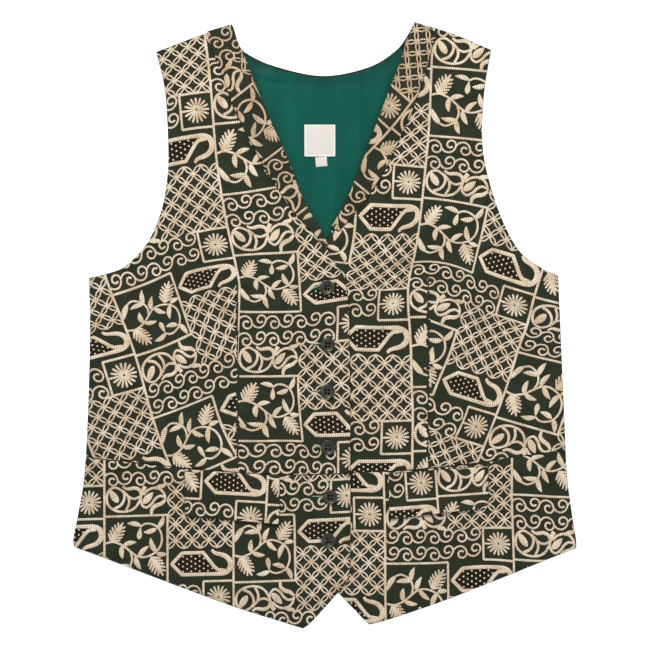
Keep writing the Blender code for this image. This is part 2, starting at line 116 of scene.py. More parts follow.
BUTTON_RADIUS = 7.6
BUTTON_THICK = 3.0
BUTTON_DISH = 0.8

LABEL_WIDTH = 32.0
LABEL_HEIGHT = 33.0
LABEL_AT = (-5.4, 190.0)
TAG_WIDTH = 12.0
TAG_HEIGHT = 10.0
TAG_OFFSET = 3.0
TAG_TURN = 5.0
TAG_AT = (LABEL_AT[0] + TAG_OFFSET / 2, LABEL_AT[1] - LABEL_HEIGHT / 2 - SEAM_GAP - TAG_HEIGHT / 2)
# The labels lie clear of the satin's folds
LABEL_CLEAR = 0.5
LABEL_SEAT = BACK_WALL + SEAM_GAP + LINING_WALL + SEAM_GAP + LABEL_CLEAR
SELVEDGE = 1.1

# One row for each section of a front's edge: the wearer's right front, then the left
Edge = namedtuple("Edge", "right_x right_y left_x left_y")
SIDE_SEAM = rows(
    Edge,
    (-258.4, -228, 258.6, -229.2), (-259, -219, 258.2, -220), (-253.8, -192, 253.8, -192),
    (-247.6, -152, 248.9, -152.8), (-243.6, -77, 245.8, -87.3), (-242, 0, 242.7, -15.5),
    (-243.2, 48.7, 239.7, 51.8),
)
ARMHOLE = rows(
    Edge,
    (-243.2, 48.7, 239.7, 51.8), (-223.6, 53.5, 221.7, 59.7), (-205.6, 61, 201.5, 74.8),
    (-183.1, 84.7, 185.5, 101.5), (-168.4, 118.7, 172.6, 136), (-161.8, 160, 163.7, 171.6),
    (-162.2, 205, 161.5, 205), (-165.4, 245, 164.4, 245.4), (-173.9, 281.4, 170.9, 283.5),
)
HEM = rows(
    Edge,
    (-258.4, -228, 258.6, -229.2), (-218.5, -242.8, 226.9, -241.8),
    (-158.7, -265.8, 185.9, -258.6), (-92.8, -290.2, 124.4, -282.9), (-41.3, -306.4, 70, -301.6),
    (-22.8, -312.2, 45.7, -308.2),
)
# The left front's cutaway and edge run on, hidden, under the right front
CUTAWAY = rows(
    Edge,
    (-22.8, -312.2, 45.7, -308.2), (-13.5, -305, 37, -300), (13.3, -274.8, 13.3, -274.8),
    (23.4, -261.5, -14, -246), (26, -247, -21.2, -232),
)
FRONT_EDGE = rows(
    Edge,
    (26, -247, -21.2, -232), (26.2, -118, -21.2, -110), (24.8, 10, -21.2, 10),
    (19.6, 50, -20, 50),
)
NECK_EDGE = rows(
    Edge,
    (19.6, 50, -20, 50), (4.4, 80.6, -7.3, 78), (-1.1, 93, 1.5, 94), (-21.7, 129, 21.5, 129),
    (-37.7, 170.2, 38.4, 170.2), (-65, 232, 61.7, 232), (-81.8, 275, 78.2, 275),
    (-90.7, 293.8, 84, 295), (-95.5, 309.8, 92, 312.2),
)
# The seam across each front that the pocket flap is sewn into
POCKET_SEAM = rows(
    Edge,
    (-246.3, -134.7, 248.1, -128.5), (-228.8, -138, 218.2, -132.6),
    (-207.1, -139.8, 189.4, -136.2), (-161.8, -145, 165.7, -140.6), (-111.3, -150.1, 115, -146.2),
    (-49.5, -153.8, 64.8, -150.1), (26.2, -152.2, -21.2, -152),
)
SHOULDER = rows(
    Edge,
    (-173.9, 281.4, 170.9, 283.5), (-134, 296.6, 131, 300.2), (-95.5, 309.8, 92, 312.2),
)

# The back's neck edge, from the wearer's right to left
Point = namedtuple("Point", "x y")
BACK_NECK = rows(
    Point,
    (-94.5, 307.5), (-89, 290), (-81.6, 280.6), (-53.1, 267.2), (-2.7, 256.8), (44.6, 265.7),
    (72.9, 283), (84.6, 298.5), (91, 309.8),
)

# A lapel's width at heights down the neck edge, and where it ends
Width = namedtuple("Width", "y width")
LAPEL_WIDTHS = rows(
    Width,
    (312.2, 27), (232, 30.5), (170, 26), (129, 17), (100, 9), (80, 5),
)
LAPEL_ENDS = {"right": 82.0, "left": 101.0}

# A pocket flap's corners: the seamed top edge, then the free bottom edge
Flap = namedtuple("Flap", "outer_x inner_x top_outer top_inner bottom_outer bottom_inner")
FLAPS = {
    "right": Flap(-144.5, -46.5, -147.5, -154.5, -196.5, -204.5),
    "left": Flap(168.0, 65.5, -144.5, -152.0, -187.5, -199.5),
}
FLAP_LIFT = 0.9
# The free corners draw in by the first, from the second of the way down
CORNER_TUCK = 1.2
CORNER_START = 0.75

Button = namedtuple("Button", "x y")
BUTTONS = rows(
    Button,
    (1.9, 38.8), (2.8, -20.2), (2.3, -68.2), (3, -125.5), (5.3, -176.5), (3.3, -221),
)

# Each button and the worked hole beside it, which gapes towards the button
Gape = namedtuple("Gape", "start_y end_y width")
GAPES = rows(
    Gape,
    (-1.6, 0.4, 4.4), (0.6, 0.9, 1.6), (0.2, 0.4, 1.5), (-0.6, 0.3, 2), (0.4, 0.3, 1.4),
    (0.2, 0.6, 1.5),
)
HOLE_START = -13.4
HOLE_TUCK = 1.5

# Where the two neck edges cross: the right front's rolled edge lies on the left front below this
CROSSING_Y = 96.0


def ease(t):
    """0 to 1, level at both ends."""
    t = np.clip(t, 0.0, 1.0)
    return t * t * (3 - 2 * t)


def side_points(rows, side):
    """One front's points from a table of edges."""
    return np.array([(getattr(r, side + "_x"), getattr(r, side + "_y")) for r in rows])


def smooth_curve(points, count):
    """count points, evenly spaced, on a smooth curve through a few points."""
    points = np.asarray(points, float)
    ends = np.vstack([2 * points[0] - points[1], points, 2 * points[-1] - points[-2]])
    dense = []
    for before, start, end, after in zip(ends, ends[1:], ends[2:], ends[3:]):
        t = np.linspace(0, 1, SPAN_CUTS, endpoint=False)[:, None]
        slope_in = (end - before) / 2
        slope_out = (after - start) / 2
        dense.append(
            (2 * t**3 - 3 * t**2 + 1) * start
            + (t**3 - 2 * t**2 + t) * slope_in
            + (3 * t**2 - 2 * t**3) * end
            + (t**3 - t**2) * slope_out
        )
    dense = np.vstack([*dense, points[-1:]])
    return even(dense, count)


def even(line, count):
    """The same line, cut again into count evenly spaced points."""
    along = np.concatenate([[0], np.cumsum(np.linalg.norm(np.diff(line, axis=0), axis=1))])
    at = np.linspace(0, along[-1], count)
    return np.stack([np.interp(at, along, line[:, k]) for k in (0, 1)], axis=1)


def join(*lines):
    """Lines that share their ends, as one."""
    return np.vstack([lines[0], *[line[1:] for line in lines[1:]]])


def table_value(rows, key, value, at):
    """A named column read at any height of a short table."""
    rows = sorted(rows, key=lambda r: getattr(r, key))
    return np.interp(at, [getattr(r, key) for r in rows], [getattr(r, value) for r in rows])


def distance_to(line, x, y):
    """The distance from points to a line drawn by close points."""
    start, end = line[:-1], line[1:]
    run = end - start
    flat = np.stack([np.ravel(x), np.ravel(y)], axis=1)[:, None, :]
    share = np.clip(((flat - start) * run).sum(2) / np.maximum((run**2).sum(1), 1e-9), 0, 1)
    near = start + share[..., None] * run
    return np.linalg.norm(flat - near, axis=2).min(1).reshape(np.shape(x))


def outline_edges():
    """The garment's silhouette without its neck: the edges where the layers meet."""
    lines = []
    for side in ("right", "left"):
        for rows in (SIDE_SEAM, ARMHOLE, SHOULDER, HEM):
            lines.append(smooth_curve(side_points(rows, side), 40))
        lines.append(smooth_curve(side_points(CUTAWAY[:3], side), 12))
    return lines


SILHOUETTE = outline_edges()


def back_hem(x):
    """The height of the back's hem, which dips to the middle."""
    return BACK_HEM_SIDE - BACK_HEM_DIP * np.cos(np.asarray(x) / BACK_HEM_HALF * math.pi / 2) ** 2


def floor_under_fronts(x, y):
    """What the fronts lie on: the back and a seam's gap, then the surface past the back's hem."""
    beyond = back_hem(x) - y
    return (BACK_WALL + SEAM_GAP) * (1 - ease((beyond - HEM_DROP_START) / HEM_DROP_RUN))


def loft(x, y):
    """How far the fronts rise off the back, as one smooth form across both."""
    near = np.min([distance_to(line, x, y) for line in SILHOUETTE], axis=0)
    bust = np.exp(-((np.abs(x) - DART_X) ** 2 + (y - BUST_POINT_Y) ** 2) / (2 * BUST_SPREAD**2))
    rise = (1 - np.exp(-near / LOFT_REACH)) * (LOFT + BUST_LOFT * bust)
    into = 1 - ease(np.abs(np.abs(x) - DART_X) / DART_HALF_WIDTH)
    along = ease((y - DART_BOTTOM) / DART_BOTTOM_RUN) * ease((DART_TOP - y) / DART_TOP_RUN)
    return rise - DART_DEPTH * into * along


def hidden_edge(y):
    """Where the left front's own edge runs under the right front."""
    line = join(
        smooth_curve(side_points(CUTAWAY, "left"), 40),
        smooth_curve(side_points(FRONT_EDGE, "left"), 20),
        smooth_curve(side_points(NECK_EDGE[:3], "left"), 20),
    )
    return np.interp(y, line[:, 1], line[:, 0])


def overlap(x, y):
    """1 where the right front lies on the left one, easing to 0 beside it."""
    into = ease((x - hidden_edge(y) + OVERLAP_RAMP) / (OVERLAP_RAMP - OVERLAP_LEVEL))
    return into * ease((OVERLAP_TOP - y) / OVERLAP_TOP_RUN)


def front_under(side, x, y):
    """The height of a front's underside."""
    z = floor_under_fronts(x, y) + loft(x, y)
    if side == "right":
        z = z + overlap(x, y) * (FRONT_WALL + OVERLAP_GAP)
    return z


def front_top(side, x, y):
    return front_under(side, x, y) + FRONT_WALL


def directions(line):
    """The way that a line runs at each of its points."""
    run = np.gradient(line, axis=0)
    return run / np.linalg.norm(run, axis=1)[:, None]


def away_from_neck(line, side):
    """Towards a front's own cloth, away from the open neck, at each point of its neck edge."""
    run = directions(line)
    return np.stack([-run[:, 1], run[:, 0]], axis=1) * (1 if side == "right" else -1)


def neck_line(side, set_back, count):
    """The neck edge of a front, set back from the rolled edge."""
    line = smooth_curve(side_points(NECK_EDGE, side), LINE_CUTS)
    share = ease((line[:, 1] - line[0, 1]) / ROLL_START_RUN)[:, None]
    return even(line + away_from_neck(line, side) * set_back * share, count)


def coons(bottom, top, outer, inner, across):
    """Fills four edges with a grid: rows from bottom to top, columns from outer to inner."""
    rows = len(outer)
    u = np.array(across)[None, :, None]
    v = np.linspace(0, 1, rows)[:, None, None]
    along_rows = (1 - u) * outer[:, None, :] + u * inner[:, None, :]
    along_columns = (1 - v) * bottom[None] + v * top[None]
    low_corners = (1 - u) * (1 - v) * bottom[0] + u * (1 - v) * bottom[-1]
    return along_rows + along_columns - (low_corners + (1 - u) * v * top[0] + u * v * top[-1])


def at_shares(line, shares):
    """Points at given shares of a line's length."""
    dense = even(line, CLOSE_CUTS)
    index = np.array(shares) * (len(dense) - 1)
    return np.stack([np.interp(index, np.arange(len(dense)), dense[:, k]) for k in (0, 1)], axis=1)


def cut_between(line, low, high):
    """The stretch of a rising line from one height to another."""
    ends = [(np.interp(y, line[:, 1], line[:, 0]), y) for y in (low, high)]
    inside = line[(line[:, 1] > low + 0.5) & (line[:, 1] < high - 0.5)]
    return np.vstack([ends[:1], inside, ends[1:]])


def side_line(side):
    return smooth_curve(side_points(SIDE_SEAM, side), LINE_CUTS)


def front_edge_line(side):
    """The cutaway and the edge of a front, up to the foot of the lapel."""
    cutaway = smooth_curve(side_points(CUTAWAY, side), 90)
    return join(cutaway, smooth_curve(side_points(FRONT_EDGE, side), 150))


def pocket_seam(side, move):
    """The seam across a front, moved up or down by half the gap and cut to the front's edges."""
    line = smooth_curve(side_points(POCKET_SEAM, side), LINE_CUTS) + (0, move)
    line[0, 0] = np.interp(line[0, 1], side_line(side)[:, 1], side_line(side)[:, 0])
    edge = front_edge_line(side)
    line[-1, 0] = np.interp(line[-1, 1], edge[:, 1], edge[:, 0])
    return line


def back_outline():
    """The back's plan, just inside the fronts' side seams, armholes and shoulders."""
    edges = []
    for side, turn in (("right", 1), ("left", -1)):
        line = join(
            smooth_curve(side_points(SIDE_SEAM, side), 16),
            smooth_curve(side_points(ARMHOLE, side), 30),
            smooth_curve(side_points(SHOULDER, side), 6),
        )
        edges.append(inset(line, turn, BACK_INSET))
    right, left = edges
    neck = smooth_curve(BACK_NECK, 40)
    hem_x = np.linspace(left[0, 0], right[0, 0], 33)[1:-1]
    hem = np.stack([hem_x, back_hem(hem_x)], axis=1)
    return np.vstack([right[:-1], neck, left[-2::-1], hem])


def inset(line, turn, amount):
    """A line moved sideways, to its right for turn 1."""
    run = directions(line)
    return line + np.stack([run[:, 1], -run[:, 0]], axis=1) * amount * turn


def lowest_roll(side, x, y):
    """What lies below the rolled edge: the lining, the back or the other front."""
    under = np.full(np.shape(x), BACK_WALL + SEAM_GAP + LINING_WALL)
    if side == "right":
        under = np.where(y < CROSSING_Y, front_top("left", x, y), under)
    return under + SEAM_GAP


# How closely the fine shells are cut: even shares of an edge, with two more near each end
EDGE_SHARES = (0.003, 0.009)
ACROSS_CUTS = 68
LOWER_CUTS = 44
WAIST_CUTS = 58
CHEST_CUTS = 66
FLAP_ACROSS = 50
FLAP_DOWN = 30
FLAP_EDGE_SHARES = (0.012, 0.024)
EDGE_ROUND = 1.6
EDGE_DROP = 0.7
SATIN_RIM = 0.5
# The satin lies this much proud under its folds, which fade at its sides and its top
SATIN_LIFT = 0.5
SATIN_MOST = 1.2
SATIN_EASE = 0.12
SATIN_TOP = 268.0
SATIN_TOP_RUN = 10.0
# How far the satin is shaded in from the neck's seam and from the lapels
SHADE_REACH = 16.0
THREAD_HOLE = 1.2
THREAD_HOLE_OFFSET = 1.6
# A band shows this share of its named width, between edges with a painted shadow that add this much
# in all
BAND_SHARE = 0.87
BAND_EDGE = 1.0
# How far in from a band's edge its painted shadow reaches
RIM_BREADTH = 0.62
STITCH_SLANT = 0.35
# How dark that painted shadow is
RIM_SHADOW = 0.95

# Soft creases: a depth below 0 is a trough, the angle turns from +X, lengths are halves,
# and each bends a little along its length
CREASE_BEND = 0.12
Crease = namedtuple("Crease", "x y angle length width depth")
CREASES = rows(
    Crease,
    (-150, 96, 38, 62, 9, 0.7), (-128, 58, 20, 48, 7, -0.5), (-60, 128, -62, 55, 10, 0.6),
    (-34, 74, -38, 34, 7, -0.6), (-205, 12, 8, 30, 8, -0.5), (-176, -88, 74, 52, 14, 0.5),
    (-40, -60, 84, 70, 12, -0.4), (-190, -190, -14, 40, 10, 0.5), (-92, -228, 12, 46, 9, -0.5),
    (-120, 230, 80, 45, 10, 0.5), (140, 110, -44, 58, 9, 0.7), (118, 72, -24, 40, 7, -0.5),
    (62, 120, 66, 60, 11, 0.5), (196, 18, -12, 34, 9, -0.5), (170, -70, -78, 60, 13, 0.5),
    (70, -96, 88, 48, 10, -0.4), (206, -184, 16, 38, 9, 0.5), (104, -206, -5, 44, 6, 0.9),
    (96, -236, 10, 52, 10, -0.4), (126, 226, 100, 46, 10, 0.5), (-186, 84, 24, 52, 11, 1),
    (-200, 52, 14, 44, 9, -0.8), (-204, -152, -6, 46, 9, 0.7), (-204, -178, -2, 42, 10, -0.8),
    (-96, 16, -8, 50, 10, 0.7), (-60, -6, 4, 46, 9, -0.6), (214, -62, 30, 40, 10, -0.6),
    (150, -232, 66, 40, 10, 0.7),
)
# The satin's folds, across the neck lining
LINING_CREASES = rows(
    Crease,
    (-56, 256, -9, 22, 3, 0.5), (-50, 249, -7, 20, 3, -0.4), (-30, 190, 84, 46, 6, 0.25),
    (-18, 176, 97, 44, 5, -0.2), (20, 170, 74, 52, 7, 0.25), (52, 236, 66, 40, 8, -0.2),
    (6, 128, 60, 34, 4, 0.3), (-6, 118, 112, 26, 3, -0.3),
)

# The pocket flaps' free edges lift in shallow waves: where along the edge, how wide, how high
Wave = namedtuple("Wave", "at width lift")
FLAP_WAVES = {
    "right": rows(Wave, (0.25, 0.16, 0.5), (0.78, 0.13, 0.8)),
    "left": rows(Wave, (0.30, 0.12, 1.2), (0.62, 0.10, 1.0), (0.88, 0.08, 0.5)),
}

# The embroidery's repeat, in units of its own, and the size of a unit
UNIT = 1.03
COLUMN = 129.0
PERIOD = 131.5
BLOCK = 33.0
STAR_LEFT = 98.8
PAIR_LEFT = 63.0
SPRIG_TOP = 64.0
HOOK_TOP = 99.5
TURN_OVER = 66.0

LINE_WIDTH = 2.4
CURL_WIDTH = 1.9
VINE_WIDTH = 2.35
ROPE_WIDTH = 3.9
PETAL_WIDTH = 1.5
CROSSING_DISC = 1.8
LATTICE_CELL = 16.25
LENS_HALF = 1.95
RAYS = 16
RAY_IN = 3.6
RAY_OUT = 11.9
RAY_WIDTHS = (1.6, 2.0, 2.3, 2.0)
STAR_DISC = 5.2
STAR_RING = 3.1
STAR_RING_WIDTH = 1.7
STAR_HOLE = 1.15
THREAD_HEIGHT = 0.6
THREAD_CLEAR = 0.03
# How far apart a band's rows of points are, along a curve and along a straight line
SAMPLE = 1.5
STRAIGHT_SAMPLE = 2.6
# A band sinks to the first of its height at its ends, and a narrow one is as low as the second
END_HEIGHT = 0.35
NARROW_HEIGHT = 0.5
FULL_BREADTH = 1.6

# A curl of the running scroll: how far out it is as it turns in from its start
Curl = namedtuple("Curl", "turn radius")
CURL = rows(
    Curl,
    (157, 9.3), (132, 8.6), (102, 7.4), (67, 5.8), (16, 4.7), (-31, 4.9), (-74, 5.1), (-118, 4.7),
    (-166, 4), (-215, 3.1), (-280, 2.1), (-335, 1.4),
)
CURL_START = 8.6
CURL_STEP = 13.75
CURLS = 7
CURL_SHIFT = 1.6
CURL_ROWS = (9.8, 26.6)

# Leaves of the sprig, from the stalk to the tip, and its vines
Leaf = namedtuple("Leaf", "u v tip_u tip_v width")
SPRIG_LEAVES = rows(
    Leaf,
    (36.6, 10.4, 22.8, 7.4, 5.4), (52, 13.2, 39.2, 16.6, 5.6), (53.2, 13, 59.2, 0.9, 5.8),
    (18.8, 29.6, 32, 26.4, 5.4), (18, 29.4, 18.2, 42.6, 5.8), (33.9, 41.4, 44.5, 30.6, 5.6),
    (30.8, 40.4, 36.6, 53.8, 5.8), (51.6, 36.8, 46.2, 22.4, 6), (52.2, 38.2, 62.4, 38.8, 5.6),
    (25.4, 49.4, 11, 48.8, 5.6), (25.8, 49.8, 29.4, 63.6, 5.8), (10.4, 54.8, 1.6, 40, 6.2),
)
Drop = namedtuple("Drop", "u v tip_u tip_v width")
SPRIG_DROP = Drop(36.2, 10.6, 34.4, 23.8, 5.8)
SPRIG_VINES = (
    (
        (0.5, 27), (7.6, 25.4), (13.4, 26.8), (19.4, 30), (25.7, 35.2), (31.9, 40), (38.2, 41.6),
        (44.6, 40.4), (51.6, 37),
    ),
    (
        (51.6, 37), (56.2, 30.4), (57.5, 22.7), (55.8, 15.8), (52, 11), (46, 8.3), (40.6, 8.3),
        (36.4, 10.6),
    ),
    (
        (25.9, 35.4), (27.6, 42), (26.6, 47.6), (22.8, 53), (15.8, 56.4), (10, 54.6),
    ),
)
# Toothed leaves: from the stalk to the tip, and how wide and how many teeth on each side
Toothed = namedtuple("Toothed", "u v tip_u tip_v width teeth")
TOOTHED_CORE = (2.4, 5.6, 7.0, 6.4, 5.0, 3.0, 1.6)
TOOTH_WIDTHS = (1.8, 2.2, 2.3, 2.1, 1.5)
TOOTHED_LEAVES = rows(
    Toothed,
    (6.8, 25.6, 18.8, 6.2, 15, 5), (46.6, 41.6, 58.8, 60.6, 16, 5),
)

# The blossom scroll: curves with their widths from one end to the other
Curve = namedtuple("Curve", "widths points")
BLOSSOM_CURVES = rows(
    Curve,
    (
        (2.4, 2.8, 2.6, 2.6),
        (
            (17.2, 38.2), (11, 35.2), (5, 37.6), (2.4, 44.6), (3.6, 52), (9.2, 57.4),
            (17.6, 59.6), (26.4, 58.4), (32.2, 54.2), (35.6, 48),
        ),
    ),
    ((2.4, 3.4, 4.1, 4.7), ((35.6, 48.6), (37, 42.8), (38.6, 38.6), (40.8, 34.8))),
    ((2.4, 2.8, 3.2), ((16.6, 37.6), (19.6, 41.4), (19.8, 47), (16.4, 53), (9.8, 56.4))),
    ((2.3, 2.8, 2.6), ((19.6, 39.6), (23.8, 44.8), (24.6, 51.6), (21.6, 58.2))),
    ((2.4, 2.6, 2.8), ((18.6, 38.6), (24, 44.6), (30, 47), (36, 44.8))),
    ((2.1, 3.9, 4.1, 3.2), ((18.4, 34.4), (22.8, 37), (30.4, 36.2), (35.2, 38.4), (36.6, 42.4))),
    (
        (2.6, 2.8, 2.6),
        (
            (39, 43.2), (43.4, 38.8), (49.6, 36.6), (55.6, 38), (59.6, 42.6), (61, 48),
        ),
    ),
    (
        (2.4, 2.6, 3, 2.4),
        (
            (36.4, 46.4), (37.2, 52.6), (41.8, 56), (47.2, 52.4), (51, 47.4), (55.6, 44.8),
            (60.6, 46.2),
        ),
    ),
    ((2.8, 4.3, 4.7, 4.1, 2.8), ((61.2, 48.6), (57, 52.4), (51.2, 54.6), (47.6, 57.8), (47, 63))),
    ((3, 4.9, 4.3, 1.5), ((51, 37.4), (55, 35.6), (59, 34.6), (63, 32))),
)
BLOSSOM_BUDS = rows(
    Drop,
    (5, 37.2, 13.8, 50.4, 7.8), (48.6, 41, 38.6, 52, 7.8),
)

# The hooked paisley: its body's corners (point, shoulder, top, waist, turn, join and foot) and
# the hook that runs on from them
Corner = namedtuple("Corner", "u v")
PAISLEY = rows(
    Corner,
    (67.2, 13.9), (77.6, 3.1), (98.6, 3.1), (109.6, 17.4), (113.2, 20.6), (120.4, 21.6),
    (77.6, 24.8),
)
HOOK = (
    (101, 24.8), (112, 24.8), (119.4, 24), (124.2, 21.4), (126, 17.2), (125.6, 13), (123.6, 9.6),
    (120.2, 6.9), (116.2, 5.4), (112.4, 4.5), (109.2, 3), (107.4, 0.3),
)
HOOK_WIDTHS = (3.9, 3.9, 4.2, 5.2, 5.7, 5.9, 5.9, 5.7, 5.2, 4.7, 4.1, 3.0)
DOT_STEP = 8.3
DOT_ROW = 2.5
DOT_RADIUS = 0.95
FILL_HEIGHT = 0.12
FILL_CLEAR = 0.7

# How each panel was cut from the cloth: where a column of the first kind starts, and how the
# cloth is turned and skewed. A front's upper panel also turns round its bust point as its dart
# closes: centre is the way to the centre front, and fade eases the turn towards the shoulder.
# Above the bust point the cloth is eased in by squeeze, from the height low to high.
CUT_PARTS = "line_x top_y pivot_x pivot_y turn skew dart centre fade squeeze low high"
Cut = namedtuple("Cut", CUT_PARTS, defaults=(0, 0, 1, 0, 0, 0, 1))
CUTS = {
    "front_upper_right": Cut(-88, 14, -90, 42, -2, 0.01, 24, 1, 0.2, 11, 14, 70),
    "front_upper_left": Cut(87, -63, 106, 52, 1, 0.02, 22, -1, 0.4, 11, 6, 76),
    "front_lower_right": Cut(-227, -129, -160, -150, 0, 0.03),
    "front_lower_left": Cut(193, -177, 193, -177, 1, -0.02),
    "flap_right": Cut(-193, -182, -60, -182, -3),
    "flap_left": Cut(113, -110, 113, -144, 4),
    "lapel_right": Cut(-88 - 51 * UNIT, 239 + 64 * UNIT, -88, 239, 38),
    "lapel_left": Cut(77, 218 + 50 * UNIT, 77, 218, -40),
}
FADE_REACH = 257.0
FADE_SPREAD = 50.0

# The thread stays this far inside a panel's edge, and no patch is kept that runs far past it
THREAD_MARGIN = 0.35
PAST_EDGE = 5.0
LEAST_FACE = 0.002

# Where a panel's cloth was pulled a little as it was laid down, and how far round a pull reaches
Pull = namedtuple("Pull", "x y reach move_x move_y")
PULLS = {
    "front_upper_right": rows(
        Pull,
        (-195, -10, 40, 6, -1), (-135, 35, 25, 1, 6), (-145, 225, 35, 0, 4),
        (-70, 130, 40, -3, -4), (-20, 50, 30, -3, -5), (0, -50, 40, -6, -1),
        (-105, -110, 25, -5, 3), (-45, -140, 25, 4, 4), (-190, -40, 50, 3, -5),
        (-75, -95, 25, 4, 0), (-95, 185, 30, -2, -2),
    ),
    "front_upper_left": rows(
        Pull,
        (40, 95, 35, 8, -6), (125, -30, 25, 3, 0), (40, -95, 30, 3, -1), (175, 60, 25, -3, 1),
        (90, 210, 40, 1, -3), (125, 45, 25, 1, 6), (90, 30, 20, -2, 3), (195, 10, 35, -4, -3),
        (226, 0, 15, 4, -3), (125, -90, 20, 4, 0),
    ),
    "front_lower_left": rows(
        Pull,
        (165, -245, 25, 0, 4), (195, -185, 25, -1, 3), (60, -205, 35, 1, -1),
    ),
    "front_lower_right": rows(
        Pull,
        (-25, -170, 30, -3, -2), (-5, -240, 30, -2, 1),
    ),
    "lapel_right": rows(
        Pull,
        (-93, 245, 25, 5, 0), (-62, 205, 30, 0, -3),
    ),
    "lapel_left": rows(
        Pull,
        (74, 205, 30, 3, -3),
    ),
}


def fine_shares(count, near_ends=EDGE_SHARES):
    """Even shares from 0 to 1, with a few more near each end."""
    near_ends = np.array(near_ends)
    return np.sort(np.concatenate([np.linspace(0, 1, count), near_ends, 1 - near_ends]))


ACROSS_FINE = fine_shares(ACROSS_CUTS)


def relief(creases, x, y):
    """The soft creases, added up."""
    total = np.zeros(np.shape(x))
    for c in creases:
        turn = math.radians(c.angle)
        along = (x - c.x) * math.cos(turn) + (y - c.y) * math.sin(turn)
        beside = (y - c.y) * math.cos(turn) - (x - c.x) * math.sin(turn)
        # The crease bends and fades out towards its ends
        beside = beside - CREASE_BEND * along**2 / c.length
        fade = ease(1 - np.abs(along) / c.length)
        total = total + c.depth * fade * np.exp(-((beside / c.width) ** 2))
    return total


def cloth_top(side, x, y):
    return front_top(side, x, y) + relief(CREASES, x, y) * ease(loft(x, y) / LOFT)


def fine_rows(outer, inner, counts, ends):
    """The two side edges of a panel, cut at the same shares, closely at its own ends."""
    rows = []
    for line in (outer, inner):
        stretches = []
        for part, count, end in zip(line, counts, ends):
            shares = np.linspace(0, 1, count)
            if "low" in end:
                shares = np.concatenate([shares, EDGE_SHARES])
            if "high" in end:
                shares = np.concatenate([shares, 1 - np.array(EDGE_SHARES)])
            stretches.append(at_shares(part, np.sort(shares)))
        rows.append(join(*stretches))
    return rows


def fine_plan(name, side):
    """The same plan as the part's panel, cut finer."""
    edge = front_edge_line(side)
    if name.startswith("front_lower"):
        bottom = smooth_curve(side_points(HEM, side), LINE_CUTS)
        top = pocket_seam(side, -SEAM_GAP / 2)
        outer = [cut_between(side_line(side), bottom[0, 1], top[0, 1])]
        inner = [cut_between(edge, bottom[-1, 1], top[-1, 1])]
        outer, inner = fine_rows(outer, inner, (LOWER_CUTS,), ("low high",))
    else:
        bottom = pocket_seam(side, SEAM_GAP / 2)
        top = smooth_curve(side_points(SHOULDER, side), LINE_CUTS)
        waist = cut_between(side_line(side), bottom[0, 1], side_line(side)[-1, 1])
        below_neck = cut_between(edge, bottom[-1, 1], edge[-1, 1])
        outer = [waist, smooth_curve(side_points(ARMHOLE, side), CLOSE_CUTS)]
        inner = [below_neck, neck_line(side, ROLL_EDGE, CLOSE_CUTS)]
        outer, inner = fine_rows(outer, inner, (WAIST_CUTS, CHEST_CUTS), ("low", "high"))
        top[-1] = inner[-1]
    ends = (at_shares(line, ACROSS_FINE) for line in (bottom, top))
    return coons(*ends, outer, inner, ACROSS_FINE)


def rim_of(plan):
    """A plan grid's outline as a closed line."""
    return np.vstack([plan[0, :-1], plan[:-1, -1], plan[-1, :0:-1], plan[::-1, 0]])


def put_in_scene(name, data):
    thing = bpy.data.objects.new(name, data)
    bpy.context.scene.collection.objects.link(thing)
    return thing


CORNERS = ((-1, -1), (1, -1), (1, 1), (-1, 1))


def add_mesh(name, points, faces, finishes, stitch=None, face_finish=None):
    """A smooth mesh in metres from millimetre points and quads."""
    mesh = bpy.data.meshes.new(name)
    mesh.from_pydata((np.asarray(points) * MM).tolist(), [], np.asarray(faces).tolist())
    for finish in finishes:
        mesh.materials.append(finish)
    if face_finish is not None:
        mesh.polygons.foreach_set("material_index", face_finish.astype(np.int32))
    if stitch is not None:
        corner = np.empty(len(mesh.loops), np.int32)
        mesh.loops.foreach_get("vertex_index", corner)
        layer = mesh.uv_layers.new(name="stitch")
        layer.data.foreach_set("uv", stitch[corner].astype(np.float32).ravel())
    mesh.shade_smooth()
    mesh.update()
    piece = put_in_scene(name, mesh)
    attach(piece, "root")
    return piece


def grid_quads(index):
    """The quads between a grid's numbered points."""
    quads = np.stack([index[:-1, :-1], index[:-1, 1:], index[1:, 1:], index[1:, :-1]], axis=-1)
    return quads.reshape(-1, 4)


def wall_mesh(under, over):
    """Points and quads of a closed wall between two grids."""
    count = under.shape[0] * under.shape[1]
    points = np.vstack([under.reshape(-1, 3), over.reshape(-1, 3)])
    index = np.arange(count).reshape(under.shape[:2])
    cells = grid_quads(index)
    top = cells + count
    rim = np.concatenate([index[0, :-1], index[:-1, -1], index[-1, :0:-1], index[:0:-1, 0]])
    following = np.roll(rim, -1)
    sides = np.stack([rim, following, following + count, rim + count], axis=1)
    faces = np.vstack([cells[:, ::-1], top, sides])
    # The grid may run the other way round
    a, b, c = (points[top[:, k]] for k in (0, 1, 2))
    if np.cross(b - a, c - a)[:, 2].sum() < 0:
        faces = faces[:, ::-1]
    return points, faces


def double_area(outline):
    """Twice the area inside a closed plan outline, below 0 where it runs clockwise."""
    x, y = outline[:, 0], outline[:, 1]
    return np.sum(x * np.roll(y, -1) - y * np.roll(x, -1))


def square_to_disc(count):
    """A grid on the unit disc, with no pole."""
    a, b = np.meshgrid(np.linspace(-1, 1, count), np.linspace(-1, 1, count), indexing="ij")
    return np.stack([a * np.sqrt(1 - b**2 / 2), b * np.sqrt(1 - a**2 / 2)], axis=-1)


